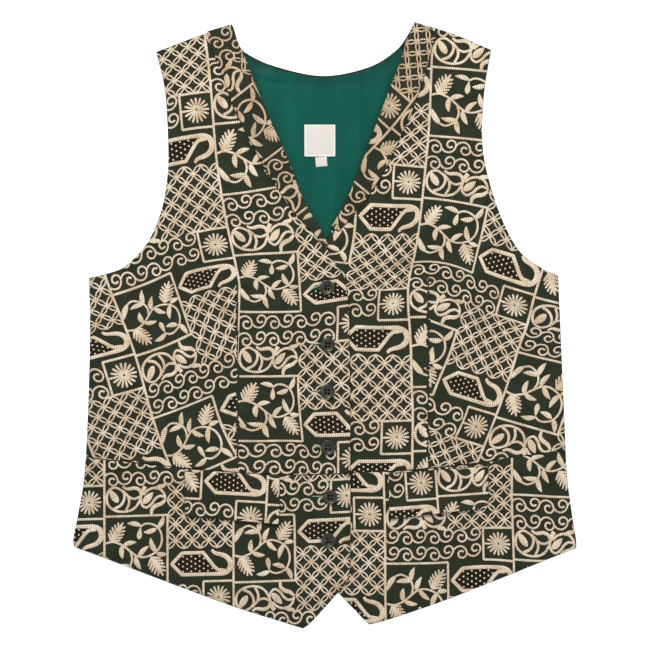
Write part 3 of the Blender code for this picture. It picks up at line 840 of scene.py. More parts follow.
class Sewing:
    """Patches of raised thread, each a small grid in the embroidery's own units."""

    def __init__(self, edge=BAND_EDGE):
        self.points, self.heights, self.stitches, self.faces, self.fills = [], [], [], [], []
        self.count = 0
        self.edge = edge

    def patch(self, points, heights, stitches, fill=0):
        size = points.shape[0] * points.shape[1]
        cells = grid_quads(self.count + np.arange(size).reshape(points.shape[:2]))
        self.points.append(points.reshape(-1, 2))
        self.heights.append(heights.reshape(-1))
        self.stitches.append(stitches.reshape(-1, 2))
        self.faces.append(cells)
        self.fills.append(np.full(len(cells), fill))
        self.count += size

    def stroke(self, line, widths, height=THREAD_HEIGHT, across=4, blunt=False):
        """A rounded band of satin stitch along a line."""
        line = np.asarray(line, float)
        run = np.gradient(line, axis=0)
        run /= np.maximum(np.linalg.norm(run, axis=1), 1e-9)[:, None]
        beside = np.stack([-run[:, 1], run[:, 0]], axis=1)
        widths = np.broadcast_to(widths, len(line)) * (BAND_SHARE if self.edge else 1.0) + self.edge
        t = np.linspace(-1, 1, across)
        halves = widths[:, None] / 2
        points = line[:, None, :] + beside[:, None, :] * (t[None, :] * halves)[..., None]
        crown = np.sqrt(np.clip(1 - t**2, 0, 1)) * (height - THREAD_CLEAR) + THREAD_CLEAR
        ends = np.ones(len(line))
        if not blunt:
            ends[[0, -1]] = END_HEIGHT
        body = np.clip(widths / FULL_BREADTH, NARROW_HEIGHT, 1)
        heights = crown[None, :] * ends[:, None] * body[:, None]
        along = np.concatenate([[0], np.cumsum(np.linalg.norm(np.diff(line, axis=0), axis=1))])
        # Every stitch leans a little, so the ridges run on a slant
        slanted = along[:, None] + STITCH_SLANT * t[None, :]
        stitches = np.stack([slanted, (1 - np.abs(t[None, :])) * halves], axis=-1)
        if not self.edge:
            stitches[..., 1] += RIM_BREADTH
        self.patch(points, heights, stitches)

    def curve(self, points, widths, step=SAMPLE, **how):
        """A band along a smooth curve through a few points."""
        points = np.asarray(points, float)
        length = np.linalg.norm(np.diff(points, axis=0), axis=1).sum()
        count = max(4, int(length / step) + 2)
        line = smooth_curve(points, count)
        widths = np.interp(np.linspace(0, 1, count), np.linspace(0, 1, len(widths)), widths)
        self.stroke(line, widths, **how)

    def straight(self, start, end, width=LINE_WIDTH):
        start, end = np.array(start, float), np.array(end, float)
        count = max(2, int(np.linalg.norm(end - start) / STRAIGHT_SAMPLE) + 1)
        self.stroke(start + (end - start) * np.linspace(0, 1, count)[:, None], width, blunt=True)

    def leaf(self, row, full=0.8, bend=0.1, plump=0.7):
        """A leaf: full below 1 is widest near the stalk, above 1 near the tip."""
        start, end = np.array((row.u, row.v)), np.array((row.tip_u, row.tip_v))
        t = ease(np.linspace(0, 1, 10) * 0.9 + 0.05)
        t = (t - t[0]) / (t[-1] - t[0])
        run = end - start
        side = np.array((-run[1], run[0]))
        line = start + run * t[:, None] + side * (bend * np.sin(math.pi * t))[:, None]
        widths = row.width * np.clip(np.sin(math.pi * t**full), 0, 1) ** plump
        self.stroke(line, np.maximum(widths, 0.5), height=THREAD_HEIGHT * 1.25, across=5)

    def disc(self, centre, radius, count=5, height=THREAD_HEIGHT, flat=0.0, fill=0, dark_edge=True):
        grid = square_to_disc(count)
        reach = np.linalg.norm(grid, axis=-1)
        crown = height * np.sqrt(np.clip(1 - reach**2 * (1 - flat), 0, 1))
        heights = np.where(reach > 0.999, THREAD_CLEAR, crown)
        from_edge = (1 - reach) * radius + (0 if dark_edge else RIM_BREADTH)
        spin = np.stack([reach * radius, from_edge], axis=-1)
        self.patch(np.array(centre) + grid * radius, heights, spin, fill)

    def done(self):
        return (
            np.vstack(self.points),
            np.concatenate(self.heights),
            np.vstack(self.stitches),
            np.vstack(self.faces),
            np.concatenate(self.fills),
        )


def sew_curls(sew):
    """Two rows of a running scroll, whose curls turn down and up by turns."""
    turns = np.radians([c.turn for c in CURL])
    reach = np.array([c.radius for c in CURL])
    for row in CURL_ROWS:
        for number in range(CURLS):
            flip = 1 if number % 2 == 0 else -1
            centre = np.array((CURL_START + number * CURL_STEP, row + flip * CURL_SHIFT))
            spiral = np.stack([reach * np.cos(turns), -flip * reach * np.sin(turns)], axis=1)
            sew.curve(centre + spiral, (CURL_WIDTH, CURL_WIDTH, CURL_WIDTH * 1.1), step=1.15)


def sew_star(sew):
    """A star flower in its box, with one ray that reaches the box's left line."""
    sew.straight((STAR_LEFT, 0), (COLUMN, 0))
    sew.straight((STAR_LEFT, BLOCK), (COLUMN, BLOCK))
    sew.straight((STAR_LEFT, 0), (STAR_LEFT, BLOCK))
    centre = np.array(((STAR_LEFT + COLUMN) / 2, BLOCK / 2))
    for number in range(RAYS):
        turn = 2 * math.pi * number / RAYS
        way = np.array((-math.cos(turn), math.sin(turn)))
        reach = RAY_OUT if number else (COLUMN - STAR_LEFT) / 2
        line = centre + way * np.linspace(RAY_IN, reach, 4)[:, None]
        sew.stroke(line, np.array(RAY_WIDTHS))
    sew.disc(centre, STAR_DISC, count=7, height=THREAD_HEIGHT * 0.7, flat=0.8, dark_edge=False)
    round_about = np.linspace(0, 2 * math.pi, 21)
    ring = centre + STAR_RING * np.stack([np.cos(round_about), np.sin(round_about)], axis=1)
    sew.stroke(ring, STAR_RING_WIDTH, height=THREAD_HEIGHT * 1.4, blunt=True)
    sew.disc(centre, STAR_HOLE, height=THREAD_HEIGHT * 1.4, fill=1)


def sew_lattice(sew):
    """A diagonal lattice whose every edge is a lens of two thin petals."""
    cell = np.array(((COLUMN - PAIR_LEFT) / 4, LATTICE_CELL))
    petal = {"height": THREAD_HEIGHT * 0.8, "across": 3, "blunt": True}
    crossing = {"count": 4, "height": THREAD_HEIGHT * 0.85, "dark_edge": False}
    t = np.linspace(0, 1, 5)[:, None]
    for i, j in product(range(4), range(4)):
        middle = (PAIR_LEFT, BLOCK) + cell * (i + 0.5, j + 0.5)
        sew.disc(middle, CROSSING_DISC, **crossing)
        if i and j:
            sew.disc(middle - cell / 2, CROSSING_DISC, **crossing)
        for a, b, hand in product((-0.5, 0.5), (-0.5, 0.5), (-1, 1)):
            run = cell * (a, b)
            side = np.array((-run[1], run[0])) / np.linalg.norm(run)
            bow = hand * LENS_HALF * np.sin(math.pi * t)
            sew.stroke(middle + run * t + side * bow, PETAL_WIDTH, **petal)


def sew_paisley(sew):
    """A hooked paisley: a pointed body edged with rope, filled dark and dotted, and a hook."""
    base = np.array((0.0, HOOK_TOP))
    point, shoulder, top, waist, turn, meet, foot = (np.array(c) + base for c in PAISLEY)
    upper = np.array([point, shoulder, top, waist, turn, meet])
    lower_v = foot[1]
    u = np.linspace(point[0] + 0.5, meet[0], 20)
    roof = np.interp(u, upper[:, 0], upper[:, 1])
    floor = np.interp(u, (point[0], foot[0]), (point[1], lower_v))
    share = np.linspace(0, 1, 7)
    depth = roof[:, None] * (1 - share) + floor[:, None] * share
    fill = np.stack([np.broadcast_to(u[:, None], depth.shape), depth], axis=-1)
    sew.patch(fill, np.full(depth.shape, FILL_HEIGHT), fill.copy(), fill=1)
    inset_by = ROPE_WIDTH / 2 + FILL_CLEAR
    row = 0
    v = shoulder[1] + inset_by + 0.9
    while v < lower_v - inset_by + 0.2:
        for k in range(8):
            at = point[0] + 3 + DOT_STEP * (k + 0.5 * (row % 2))
            roof_at = np.interp(at, upper[:, 0], upper[:, 1])
            floor_at = np.interp(at, (point[0], foot[0]), (point[1], lower_v))
            if at < waist[0] + 6 and roof_at + inset_by * 1.25 < v < floor_at - inset_by * 1.1:
                sew.disc((at, v), DOT_RADIUS, count=4, height=0.7, flat=0.4, dark_edge=False)
        row += 1
        v += DOT_ROW
    corners = np.array([meet, turn, waist, top, shoulder, point, foot, np.array(HOOK[0]) + base])
    cuts = [max(3, int(np.linalg.norm(b - a) / 2) + 1) for a, b in zip(corners, corners[1:])]
    edge = join(*(even(corners[k : k + 2], count) for k, count in enumerate(cuts)))
    sew.stroke(edge, ROPE_WIDTH, height=THREAD_HEIGHT * 1.2, across=5, blunt=True)
    sew.curve(np.array(HOOK) + base, HOOK_WIDTHS, height=THREAD_HEIGHT * 1.3, across=5)


def lowered(row, by):
    """A leaf's row, moved down the repeat."""
    return row._replace(v=row.v + by, tip_v=row.tip_v + by)


def sew_sprig(sew):
    """A leafy sprig in its box, with two toothed leaves."""
    base = (0.0, SPRIG_TOP)
    sew.straight((0, SPRIG_TOP), (PAIR_LEFT, SPRIG_TOP))
    sew.straight((0, PERIOD), (PAIR_LEFT, PERIOD))
    sew.straight((PAIR_LEFT, SPRIG_TOP), (PAIR_LEFT, PERIOD))
    for vine in SPRIG_VINES:
        sew.curve(np.array(vine) + base, (VINE_WIDTH, VINE_WIDTH * 0.9))
    for number, row in enumerate(SPRIG_LEAVES):
        sew.leaf(lowered(row, SPRIG_TOP), bend=0.08 * (-1) ** number)
    sew.leaf(lowered(SPRIG_DROP, SPRIG_TOP), full=1.7, bend=0.0, plump=0.6)
    for row in TOOTHED_LEAVES:
        start, end = np.array((row.u, row.v)) + base, np.array((row.tip_u, row.tip_v)) + base
        run = end - start
        side = np.array((-run[1], run[0])) / np.linalg.norm(run)
        core = start + run * np.linspace(0, 1, len(TOOTHED_CORE))[:, None]
        sew.stroke(core, TOOTHED_CORE, height=THREAD_HEIGHT * 1.15, across=5)
        for number in range(row.teeth):
            share = (number + 0.1) / row.teeth
            out = row.width / 2 * (0.92 + 0.3 * math.sin(math.pi * share) - 0.62 * share)
            for hand in (-1, 1):
                root = start + run * (share * 0.78)
                tip = start + run * (share * 0.76 + 0.26) + side * hand * out
                line = root + (tip - root) * np.linspace(0, 1, len(TOOTH_WIDTHS))[:, None]
                sew.stroke(line, TOOTH_WIDTHS, height=THREAD_HEIGHT * 1.05)


def sew_blossom(sew):
    """A scroll of buds and curled leaves."""
    for row in BLOSSOM_CURVES:
        sew.curve(row.points, row.widths, height=THREAD_HEIGHT * 1.05)
    for row in BLOSSOM_BUDS:
        sew.leaf(row, full=1.25, bend=0.0, plump=0.55)


def sew_tile():
    """One column's whole repeat."""
    sew = Sewing()
    sew_paisley(sew)
    sew.straight((0, 0), (0, PERIOD))
    sew_curls(sew)
    sew_star(sew)
    sew_lattice(sew)
    sew_sprig(sew)
    sew_blossom(sew)
    return sew.done()


TILE = sew_tile()


def inside(outline, points):
    """Whether points lie inside a closed outline."""
    x, y = points[:, 0, None], points[:, 1, None]
    start, end = outline, np.roll(outline, -1, axis=0)
    spans = (start[:, 1] > y) != (end[:, 1] > y)
    rise = np.where(np.abs(end[:, 1] - start[:, 1]) < 1e-9, 1e-9, end[:, 1] - start[:, 1])
    crosses = x < (end[:, 0] - start[:, 0]) * (y - start[:, 1]) / rise + start[:, 0]
    return (spans & crosses).sum(1) % 2 == 1


def nearest_on(outline, points):
    """The nearest points of a closed outline."""
    closed = np.vstack([outline, outline[:1]])
    start, run = closed[:-1], np.diff(closed, axis=0)
    flat = points[:, None, :]
    share = np.clip(((flat - start) * run).sum(2) / np.maximum((run**2).sum(1), 1e-9), 0, 1)
    spots = start + share[..., None] * run
    gaps = np.linalg.norm(spots - flat, axis=2)
    best = gaps.argmin(1)
    rows = np.arange(len(points))
    return spots[rows, best], gaps[rows, best]


def in_parts(work, points, size=1500):
    """Runs work on points a few at a time, to keep its tables small."""
    results = [work(points[k : k + size]) for k in range(0, len(points), size)]
    if isinstance(results[0], tuple):
        return tuple(np.concatenate(r) for r in zip(*results))
    return np.concatenate(results)


def drape(cut, cloth):
    """From flat cloth to a laid panel: points, their turns round the bust point, who is outside."""
    pivot = np.array((cut.pivot_x, cut.pivot_y))
    away = cloth - pivot
    away = away + np.stack([np.zeros(len(away)), cut.skew * away[:, 0]], axis=1)
    turn = math.radians(cut.turn)
    away = away @ np.array([[math.cos(turn), math.sin(turn)], [-math.sin(turn), math.cos(turn)]])
    if not cut.dart:
        return pivot + away, np.zeros(len(cloth)), np.zeros(len(cloth), bool)
    if cut.squeeze:
        laid = np.linspace(-400, 400, 1601)
        taken = laid + cut.squeeze * ease((laid - cut.low) / (cut.high - cut.low))
        away[:, 1] = np.interp(away[:, 1] + pivot[1], taken, laid) - pivot[1]
    reach = np.hypot(away[:, 0], away[:, 1])
    cloth_turn = np.degrees(np.arctan2(cut.centre * away[:, 0], -away[:, 1])) % 360
    outside = cloth_turn > 360 - cut.dart
    near_start = cloth_turn > 360 - cut.dart / 2
    cloth_turn = np.where(outside, np.where(near_start, 0.0, 360 - cut.dart), cloth_turn)
    laid_turn = cloth_turn.copy()
    for _ in range(8):
        above = np.exp(-(((laid_turn - 180) / FADE_SPREAD) ** 2))
        share = laid_turn / 360 * (1 - cut.fade * ease(reach / FADE_REACH) * above)
        laid_turn = cloth_turn + cut.dart * share
    angle = np.radians(laid_turn)
    laid = pivot + np.stack([cut.centre * reach * np.sin(angle), -reach * np.cos(angle)], axis=1)
    return laid, laid_turn, outside


def pulled(name, cloth):
    """The flat cloth, moved where its panel was pulled a little as it was laid."""
    laid = drape(CUTS[name], cloth)[0]
    moved = cloth.copy()
    for pull in PULLS.get(name, ()):
        away = (laid[:, 0] - pull.x) ** 2 + (laid[:, 1] - pull.y) ** 2
        weight = np.exp(-away / (2 * pull.reach**2))
        moved += weight[:, None] * (pull.move_x, pull.move_y)
    return moved


def embroider(name, outline, top, finishes):
    """Sews the repeat all over a panel, ends it at the panel's edge, and lays it on the cloth."""
    cut = CUTS[name]
    tile_points, tile_heights, tile_stitches, tile_faces, tile_fills = TILE
    low, high = outline.min(0), outline.max(0)
    points, heights, stitches, faces, fills, turns, lost = [], [], [], [], [], [], []
    count = 0
    for column in range(-4, 5):
        for row in range(-5, 6):
            u = tile_points[:, 0] + COLUMN * column
            v = tile_points[:, 1] if column % 2 == 0 else TURN_OVER - tile_points[:, 1]
            v = v + PERIOD * row
            cloth = np.stack([cut.line_x + UNIT * u, cut.top_y - UNIT * v], axis=1)
            laid, turn, outside = drape(cut, pulled(name, cloth))
            if (laid.max(0) < low).any() or (laid.min(0) > high).any():
                continue
            points.append(laid)
            heights.append(tile_heights)
            stitches.append(tile_stitches * UNIT)
            faces.append(tile_faces + count)
            fills.append(tile_fills)
            turns.append(turn)
            lost.append(outside)
            count += len(laid)
    points, heights, stitches = np.vstack(points), np.concatenate(heights), np.vstack(stitches)
    faces, fills = np.vstack(faces), np.concatenate(fills)
    turns, lost = np.concatenate(turns), np.concatenate(lost)
    within = ~lost
    within[within] = in_parts(lambda p: inside(outline, p), points[within])
    near, gap = in_parts(lambda p: nearest_on(outline, p), points)
    keep = within[faces].any(1) & (np.ptp(turns[faces], axis=1) < 180)
    keep &= ~((~within & (gap > PAST_EDGE))[faces].any(1))
    faces, fills = faces[keep], fills[keep]
    used = np.unique(faces)
    # What runs past the edge stops at it, and the rest keeps a thread's breadth inside
    close = used[(gap[used] < THREAD_MARGIN) | ~(within | lost)[used]]
    inward = np.where(within[close, None], points[close] - near[close], near[close] - points[close])
    inward /= np.maximum(np.linalg.norm(inward, axis=1), 1e-6)[:, None]
    points[close] = near[close] + inward * THREAD_MARGIN
    gap[close] = THREAD_MARGIN
    renumber = np.full(len(points), -1)
    renumber[used] = np.arange(len(used))
    points, heights, stitches, gap = points[used], heights[used], stitches[used], gap[used]
    faces = renumber[faces]
    a, b, c, d = (points[faces[:, k]] for k in range(4))
    one, two = c - a, d - b
    area = (one[:, 0] * two[:, 1] - one[:, 1] * two[:, 0]) / 2
    faces[area < 0] = faces[area < 0][:, ::-1]
    real = np.abs(area) > LEAST_FACE
    faces, fills = faces[real], fills[real]
    z = top(points[:, 0], points[:, 1], gap) + heights
    points = np.column_stack([points, z])
    piece = add_mesh(f"embroidery_{name}", points, faces, finishes, stitches, fills)
    return piece


class Heights:
    """A front's top with its creases, on a 2 mm grid from which many points can be read."""

    def __init__(self, side, half_width=272.0, half_length=326.0, step=2.0):
        self.step = step
        self.low = np.array((-half_width, -half_length))
        x = np.arange(-half_width, half_width + step, step)
        y = np.arange(-half_length, half_length + step, step)
        self.z = np.array([cloth_top(side, x, np.full(len(x), row)) for row in y])

    def read(self, x, y):
        i = np.clip((x - self.low[0]) / self.step, 0, self.z.shape[1] - 1.001)
        j = np.clip((y - self.low[1]) / self.step, 0, self.z.shape[0] - 1.001)
        a, b = i.astype(int), j.astype(int)
        s, t = i - a, j - b
        below = self.z[b, a] * (1 - s) + self.z[b, a + 1] * s
        above = self.z[b + 1, a] * (1 - s) + self.z[b + 1, a + 1] * s
        return below * (1 - t) + above * t


HEIGHTS = {side: Heights(side) for side in ("right", "left")}


def edge_drop(gap):
    """How far the top of a wall is rounded down near its edge."""
    into = np.clip(1 - gap / EDGE_ROUND, 0, 1)
    return EDGE_DROP * (1 - np.sqrt(1 - into**2))


def shell(name, plan, low, high, finish, mark=None):
    """A closed wall over a plan grid, its upper edge rounded, in place of the part's own solid."""
    x, y = plan[..., 0], plan[..., 1]
    rim = rim_of(plan)
    drop = edge_drop(distance_to(np.vstack([rim, rim[:1]]), x, y))
    points, faces = wall_mesh(np.dstack([x, y, low]), np.dstack([x, y, high - drop]))
    marks = None if mark is None else mark(points)
    piece = add_mesh(name + "_cloth", points, faces, [finish], marks)
    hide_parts(name)
    return piece


def front_panel(name, side):
    """One panel of a front and the embroidery on it."""
    plan = fine_plan(name, side)
    x, y = plan[..., 0], plan[..., 1]
    heights = HEIGHTS[side]
    over = heights.read(x, y)
    under = over - FRONT_WALL
    piece = shell(name, plan, under, over, GROUND)
    outline = rim_of(plan)
    sewn = embroider(
        name, outline, lambda x, y, gap: heights.read(x, y) - edge_drop(gap), [THREAD, FILL]
    )


def lapel_level(side, x, y, gap):
    """The top of a lapel: flat on the front, then round the roll at the neck edge."""
    top = HEIGHTS[side].read(x, y)
    middle = top - FRONT_WALL / 2
    flat = np.maximum(top + LAYER_GAP + LAPEL_WALL, middle + ROLL_RADIUS + LAPEL_WALL / 2)
    reach = ROLL_RADIUS + LAPEL_WALL / 2
    arc = middle + np.sqrt(np.clip(reach**2 - (ROLL_EDGE - gap) ** 2, 0, None))
    return np.where(gap < ROLL_EDGE, arc, flat)


def lapel(side):
    """A lapel: a wall that lies on its front and rolls over the neck edge."""
    line = neck_line(side, 0.0, CLOSE_CUTS)
    line = even(line[line[:, 1] > LAPEL_ENDS[side]], 150)
    out = away_from_neck(line, side)
    widths = table_value(LAPEL_WIDTHS, "y", "width", line[:, 1])
    half = LAPEL_WALL / 2
    lowest_sine = math.sin(math.radians(ROLL_LOWEST_TURN))
    outer_rows, inner_rows = [], []
    for place, outward, width in zip(line, out, widths):
        edge = place + outward * ROLL_EDGE
        middle = float(HEIGHTS[side].read(edge[0:1], edge[1:2])[0]) - FRONT_WALL / 2
        lowest = float(lowest_roll(side, np.array(edge[0]), np.array(edge[1])))
        reach = np.clip((lowest + half - middle) / ROLL_RADIUS, lowest_sine, 0)
        last_turn = 180 + math.degrees(math.asin(-reach))
        lies = ROLL_EDGE + (width - ROLL_EDGE) * np.linspace(1, 0, 15)[:-1]
        spots = place + outward * lies[:, None]
        level = HEIGHTS[side].read(spots[:, 0], spots[:, 1]) + LAYER_GAP + half
        level = np.maximum(level, middle + ROLL_RADIUS)
        turns = np.radians(np.linspace(90, last_turn, 12))
        d = np.concatenate([lies, ROLL_EDGE + ROLL_RADIUS * np.cos(turns)])
        z = np.concatenate([level, middle + ROLL_RADIUS * np.sin(turns)])
        n = np.concatenate([np.zeros(len(lies)), np.cos(turns)])
        m = np.concatenate([np.ones(len(lies)), np.sin(turns)])
        thin = np.ones(len(d)) * half
        thin[0] = half * 0.5
        for rows, hand in ((outer_rows, 1), (inner_rows, -1)):
            spot = place + outward * (d + hand * n * half)[:, None]
            rows.append(np.column_stack([spot, z + hand * m * (thin if hand > 0 else half)]))
    points, faces = wall_mesh(np.array(inner_rows), np.array(outer_rows))
    name = "lapel_" + side
    piece = add_mesh(name + "_cloth", points, faces, [GROUND])
    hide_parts(name)
    outline = np.vstack([line, (line + out * widths[:, None])[::-1]])
    neck = even(line, 160)

    def top(x, y, gap):
        near = np.concatenate(
            [distance_to(neck, x[k : k + 4000], y[k : k + 4000]) for k in range(0, len(x), 4000)]
        )
        return lapel_level(side, x, y, near)

    # The lapel's embroidery takes the thread that carries painted shade
    sewn = embroider(name, outline, top, [SHADED_LAPEL_THREAD, FILL])


def flap_plan(side):
    size = FLAPS[side]
    across = fine_shares(FLAP_ACROSS)[None]
    down = fine_shares(FLAP_DOWN, FLAP_EDGE_SHARES)[:, None]
    outer = size.top_outer + (size.bottom_outer - size.top_outer) * down
    inner = size.top_inner + (size.bottom_inner - size.top_inner) * down
    hand = 1 if size.inner_x > size.outer_x else -1
    tuck = CORNER_TUCK * np.clip(down - CORNER_START, 0, None) / (1 - CORNER_START)
    x = size.outer_x + hand * tuck + (size.inner_x - size.outer_x - 2 * hand * tuck) * across
    y = outer + (inner - outer) * across
    return np.dstack([x, y])


def flap(side):
    """A pocket flap, whose free edge lifts in shallow waves."""
    plan = flap_plan(side)
    size = FLAPS[side]
    name = "flap_" + side

    def lift_at(x, y):
        share = (x - size.outer_x) / (size.inner_x - size.outer_x)
        top = size.top_outer + (size.top_inner - size.top_outer) * share
        bottom = size.bottom_outer + (size.bottom_inner - size.bottom_outer) * share
        down = np.clip((top - y) / (top - bottom), 0, 1)
        lift = FLAP_LIFT * down**2
        for wave in FLAP_WAVES[side]:
            lift = lift + wave.lift * down**2 * np.exp(-(((share - wave.at) / wave.width) ** 2))
        return lift

    def top(x, y, gap):
        return HEIGHTS[side].read(x, y) + LAYER_GAP + FLAP_WALL + lift_at(x, y) - edge_drop(gap)

    x, y = plan[..., 0], plan[..., 1]
    low = HEIGHTS[side].read(x, y) + LAYER_GAP + lift_at(x, y)
    piece = shell(name, plan, low, low + FLAP_WALL, GROUND)
    outline = rim_of(plan)
    sewn = embroider(name, outline, top, [THREAD, FILL])


def back():
    """The plain back, level on the surface, its upper edge rounded."""
    outline = back_outline()
    rings = []
    centre = outline.mean(0)
    for shrink, below in BACK_RIM:
        away = centre - outline
        away /= np.linalg.norm(away, axis=1)[:, None]
        level = np.full(len(outline), BACK_WALL - below)
        rings.append(np.column_stack([outline + away * shrink, level]))
    count = len(outline)
    points = np.vstack(rings)
    mesh = bpy.data.meshes.new("back_cloth")
    around = np.arange(count)
    following = np.roll(around, -1)
    turn = double_area(outline)
    faces = []
    for level in range(3):
        low, high = around + level * count, following + level * count
        for a, b in zip(low, high):
            face = [int(a), int(b), int(b + count), int(a + count)]
            faces.append(face if turn > 0 else face[::-1])
    cap = [int(k) for k in (around if turn > 0 else around[::-1])]
    faces.append(cap[::-1])
    faces.append([k + 3 * count for k in cap])
    mesh.from_pydata((points * MM).tolist(), [], faces)
    mesh.materials.append(GROUND)
    mesh.shade_smooth()
    mesh.set_sharp_from_angle(angle=math.radians(40))
    piece = put_in_scene("back_cloth", mesh)
    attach(piece, "root")
    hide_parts("back")


def lining():
    """The satin that shows in the neck, with soft folds down it."""
    neck = inset(smooth_curve(BACK_NECK, 60)[6:-6], 1, SATIN_RIM)
    sides = []
    for side, tuck in (("right", -LINING_TUCK), ("left", LINING_TUCK)):
        line = neck_line(side, 0.0, LINE_CUTS)
        shows = (line[:, 1] > LINING_FOOT) & (line[:, 1] < neck[0, 1] - LINING_TOP_CLEAR)
        sides.append(even(line[shows] + (tuck, 0), 110))
    across = np.linspace(0, 1, 90)
    neck = np.vstack([sides[0][-1], neck[1:-1], sides[1][-1]])
    foot = np.stack([sides[0][0], sides[1][0]])
    plan = coons(at_shares(foot, across), at_shares(neck, across), *sides, across)
    x, y = plan[..., 0], plan[..., 1]
    low = np.full(x.shape, BACK_WALL + SEAM_GAP)
    room = ease(np.minimum(across, 1 - across) / SATIN_EASE)[None, :]
    folds = np.clip(relief(LINING_CREASES, x, y) + SATIN_LIFT, 0, SATIN_MOST)
    lift = folds * room * ease((SATIN_TOP - y) / SATIN_TOP_RUN)

    def shading(points):
        """How far each point is from the neck's seam, and from the lapels that shade it."""
        from_neck = distance_to(neck, points[:, 0], points[:, 1])
        from_sides = np.minimum(*(distance_to(line, points[:, 0], points[:, 1]) for line in sides))
        return np.column_stack([from_neck, from_sides])

    high = low + LINING_WALL + lift
    piece = shell("back_lining", plan, low, high, SATIN, shading)


def label(name, middle, width, height, turn=0.0):
    """A bare woven label, turned a little where it hangs askew."""
    shares = np.array((0, 0.02, 0.04, 0.3, 0.7, 0.96, 0.98, 1)) - 0.5
    right, up = np.meshgrid(shares * width, shares * height)
    angle = math.radians(turn)
    x = middle[0] + right * math.cos(angle) - up * math.sin(angle)
    y = middle[1] + right * math.sin(angle) + up * math.cos(angle)
    low = np.full(x.shape, LABEL_SEAT)
    piece = shell(name, np.dstack([x, y]), low, low + LABEL_WALL, WOVEN)


def selvedge(middle, width, height):
    """The paler woven band along the label's four edges."""
    reach = np.array((width / 2 - SELVEDGE, height / 2 - SELVEDGE))
    corners = np.array(middle) + [reach * way for way in CORNERS]
    level = LABEL_SEAT + LABEL_WALL
    lines = [(even(corners[[k, (k + 1) % 4]], 12), level) for k in range(4)]
    sewn_lines("label_selvedge", lines, 2 * SELVEDGE - 0.4, 0.12, PALE_THREAD)


def revolved(profile, steps, middle):
    """A round solid from a profile of radius and height, about a vertical axis."""
    points, faces = [], []
    rings = []
    for radius, height in profile:
        if radius == 0:
            rings.append([len(points)])
            points.append((middle[0], middle[1], height))
            continue
        rings.append(list(range(len(points), len(points) + steps)))
        for k in range(steps):
            turn = 2 * math.pi * k / steps
            x, y = middle[0] + radius * math.cos(turn), middle[1] + radius * math.sin(turn)
            points.append((x, y, height))
    for one, two in zip(rings, rings[1:]):
        for k in range(steps):
            n = (k + 1) % steps
            if len(one) == 1:
                faces.append((one[0], two[n], two[k]))
            elif len(two) == 1:
                faces.append((one[k], one[n], two[0]))
            else:
                faces.append((one[k], one[n], two[n], two[k]))
    return points, faces


def plain_mesh(name, points, faces):
    mesh = bpy.data.meshes.new(name)
    mesh.from_pydata([tuple(v * MM for v in p) for p in points], [], faces)
    mesh.update()
    return put_in_scene(name, mesh)


def button(number, place):
    """A four-hole horn button with a raised rim."""
    around = np.radians(np.arange(0, 360, 30))
    ring_x = place.x + BUTTON_RADIUS * np.cos(around)
    ring_y = place.y + BUTTON_RADIUS * np.sin(around)
    seat = float(np.max(HEIGHTS["right"].read(ring_x, ring_y))) + LAYER_GAP
    r, t = BUTTON_RADIUS, BUTTON_THICK
    profile = (
        (0.0, 0.3), (r - 1.8, 0.1), (r - 0.7, 0.3), (r - 0.15, 0.9), (r, 1.5), (r - 0.1, t - 0.7),
        (r - 0.45, t - 0.2), (r - 1.0, t), (r - 1.5, t - 0.1), (r - 2.4, t - 0.5),
        (r - 2.6, t - 0.75), (r - 2.9, t - 0.75), (r - 3.1, t - 0.6), (r - 3.8, t - BUTTON_DISH),
        (0.0, t - BUTTON_DISH),
    )
    points, faces = revolved([(a, seat + b) for a, b in profile], 48, place)
    body = plain_mesh(f"button_{number}_horn", points, faces)
    holes, hole_faces = [], []
    low, high = seat - 2, seat + 5
    for hand_x, hand_y in product((-1, 1), (-1, 1)):
        at = (place.x + hand_x * THREAD_HOLE_OFFSET, place.y + hand_y * THREAD_HOLE_OFFSET)
        drill = ((0, low), (THREAD_HOLE, low), (THREAD_HOLE, high), (0, high))
        more, walls = revolved(drill, 16, at)
        hole_faces += [tuple(k + len(holes) for k in face) for face in walls]
        holes += more
    cutter = plain_mesh(f"button_{number}_holes", holes, hole_faces)
    cut = body.modifiers.new("holes", "BOOLEAN")
    cut.operation = "DIFFERENCE"
    cut.solver = "EXACT"
    cut.object = cutter
    graph = bpy.context.evaluated_depsgraph_get()
    drilled = bpy.data.meshes.new_from_object(body.evaluated_get(graph))
    body.modifiers.clear()
    body.data = drilled
    bpy.data.objects.remove(cutter)
    drilled.materials.clear()
    drilled.materials.append(HORN)
    drilled.shade_smooth()
    drilled.set_sharp_from_angle(angle=math.radians(35))
    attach(body, "root")
    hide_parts(f"button_{number}")
    return seat


def sewn_lines(name, lines, widths, height, finish):
    """Short bars of thread: each a line of plan points and its height."""
    sew = Sewing(edge=0.0)
    levels = []
    for line, level in lines:
        before = sew.count
        sew.stroke(line, widths, height=height, across=5)
        levels.append(np.full(sew.count - before, level))
    points, heights, stitches, faces, _ = sew.done()
    z = np.concatenate(levels) + heights
    a, b, c = (points[faces[:, k]] for k in range(3))
    one, two = b - a, c - a
    flip = (one[:, 0] * two[:, 1] - one[:, 1] * two[:, 0]) < 0
    faces[flip] = faces[flip][:, ::-1]
    piece = add_mesh(name, np.column_stack([points, z]), faces, [finish], stitches)


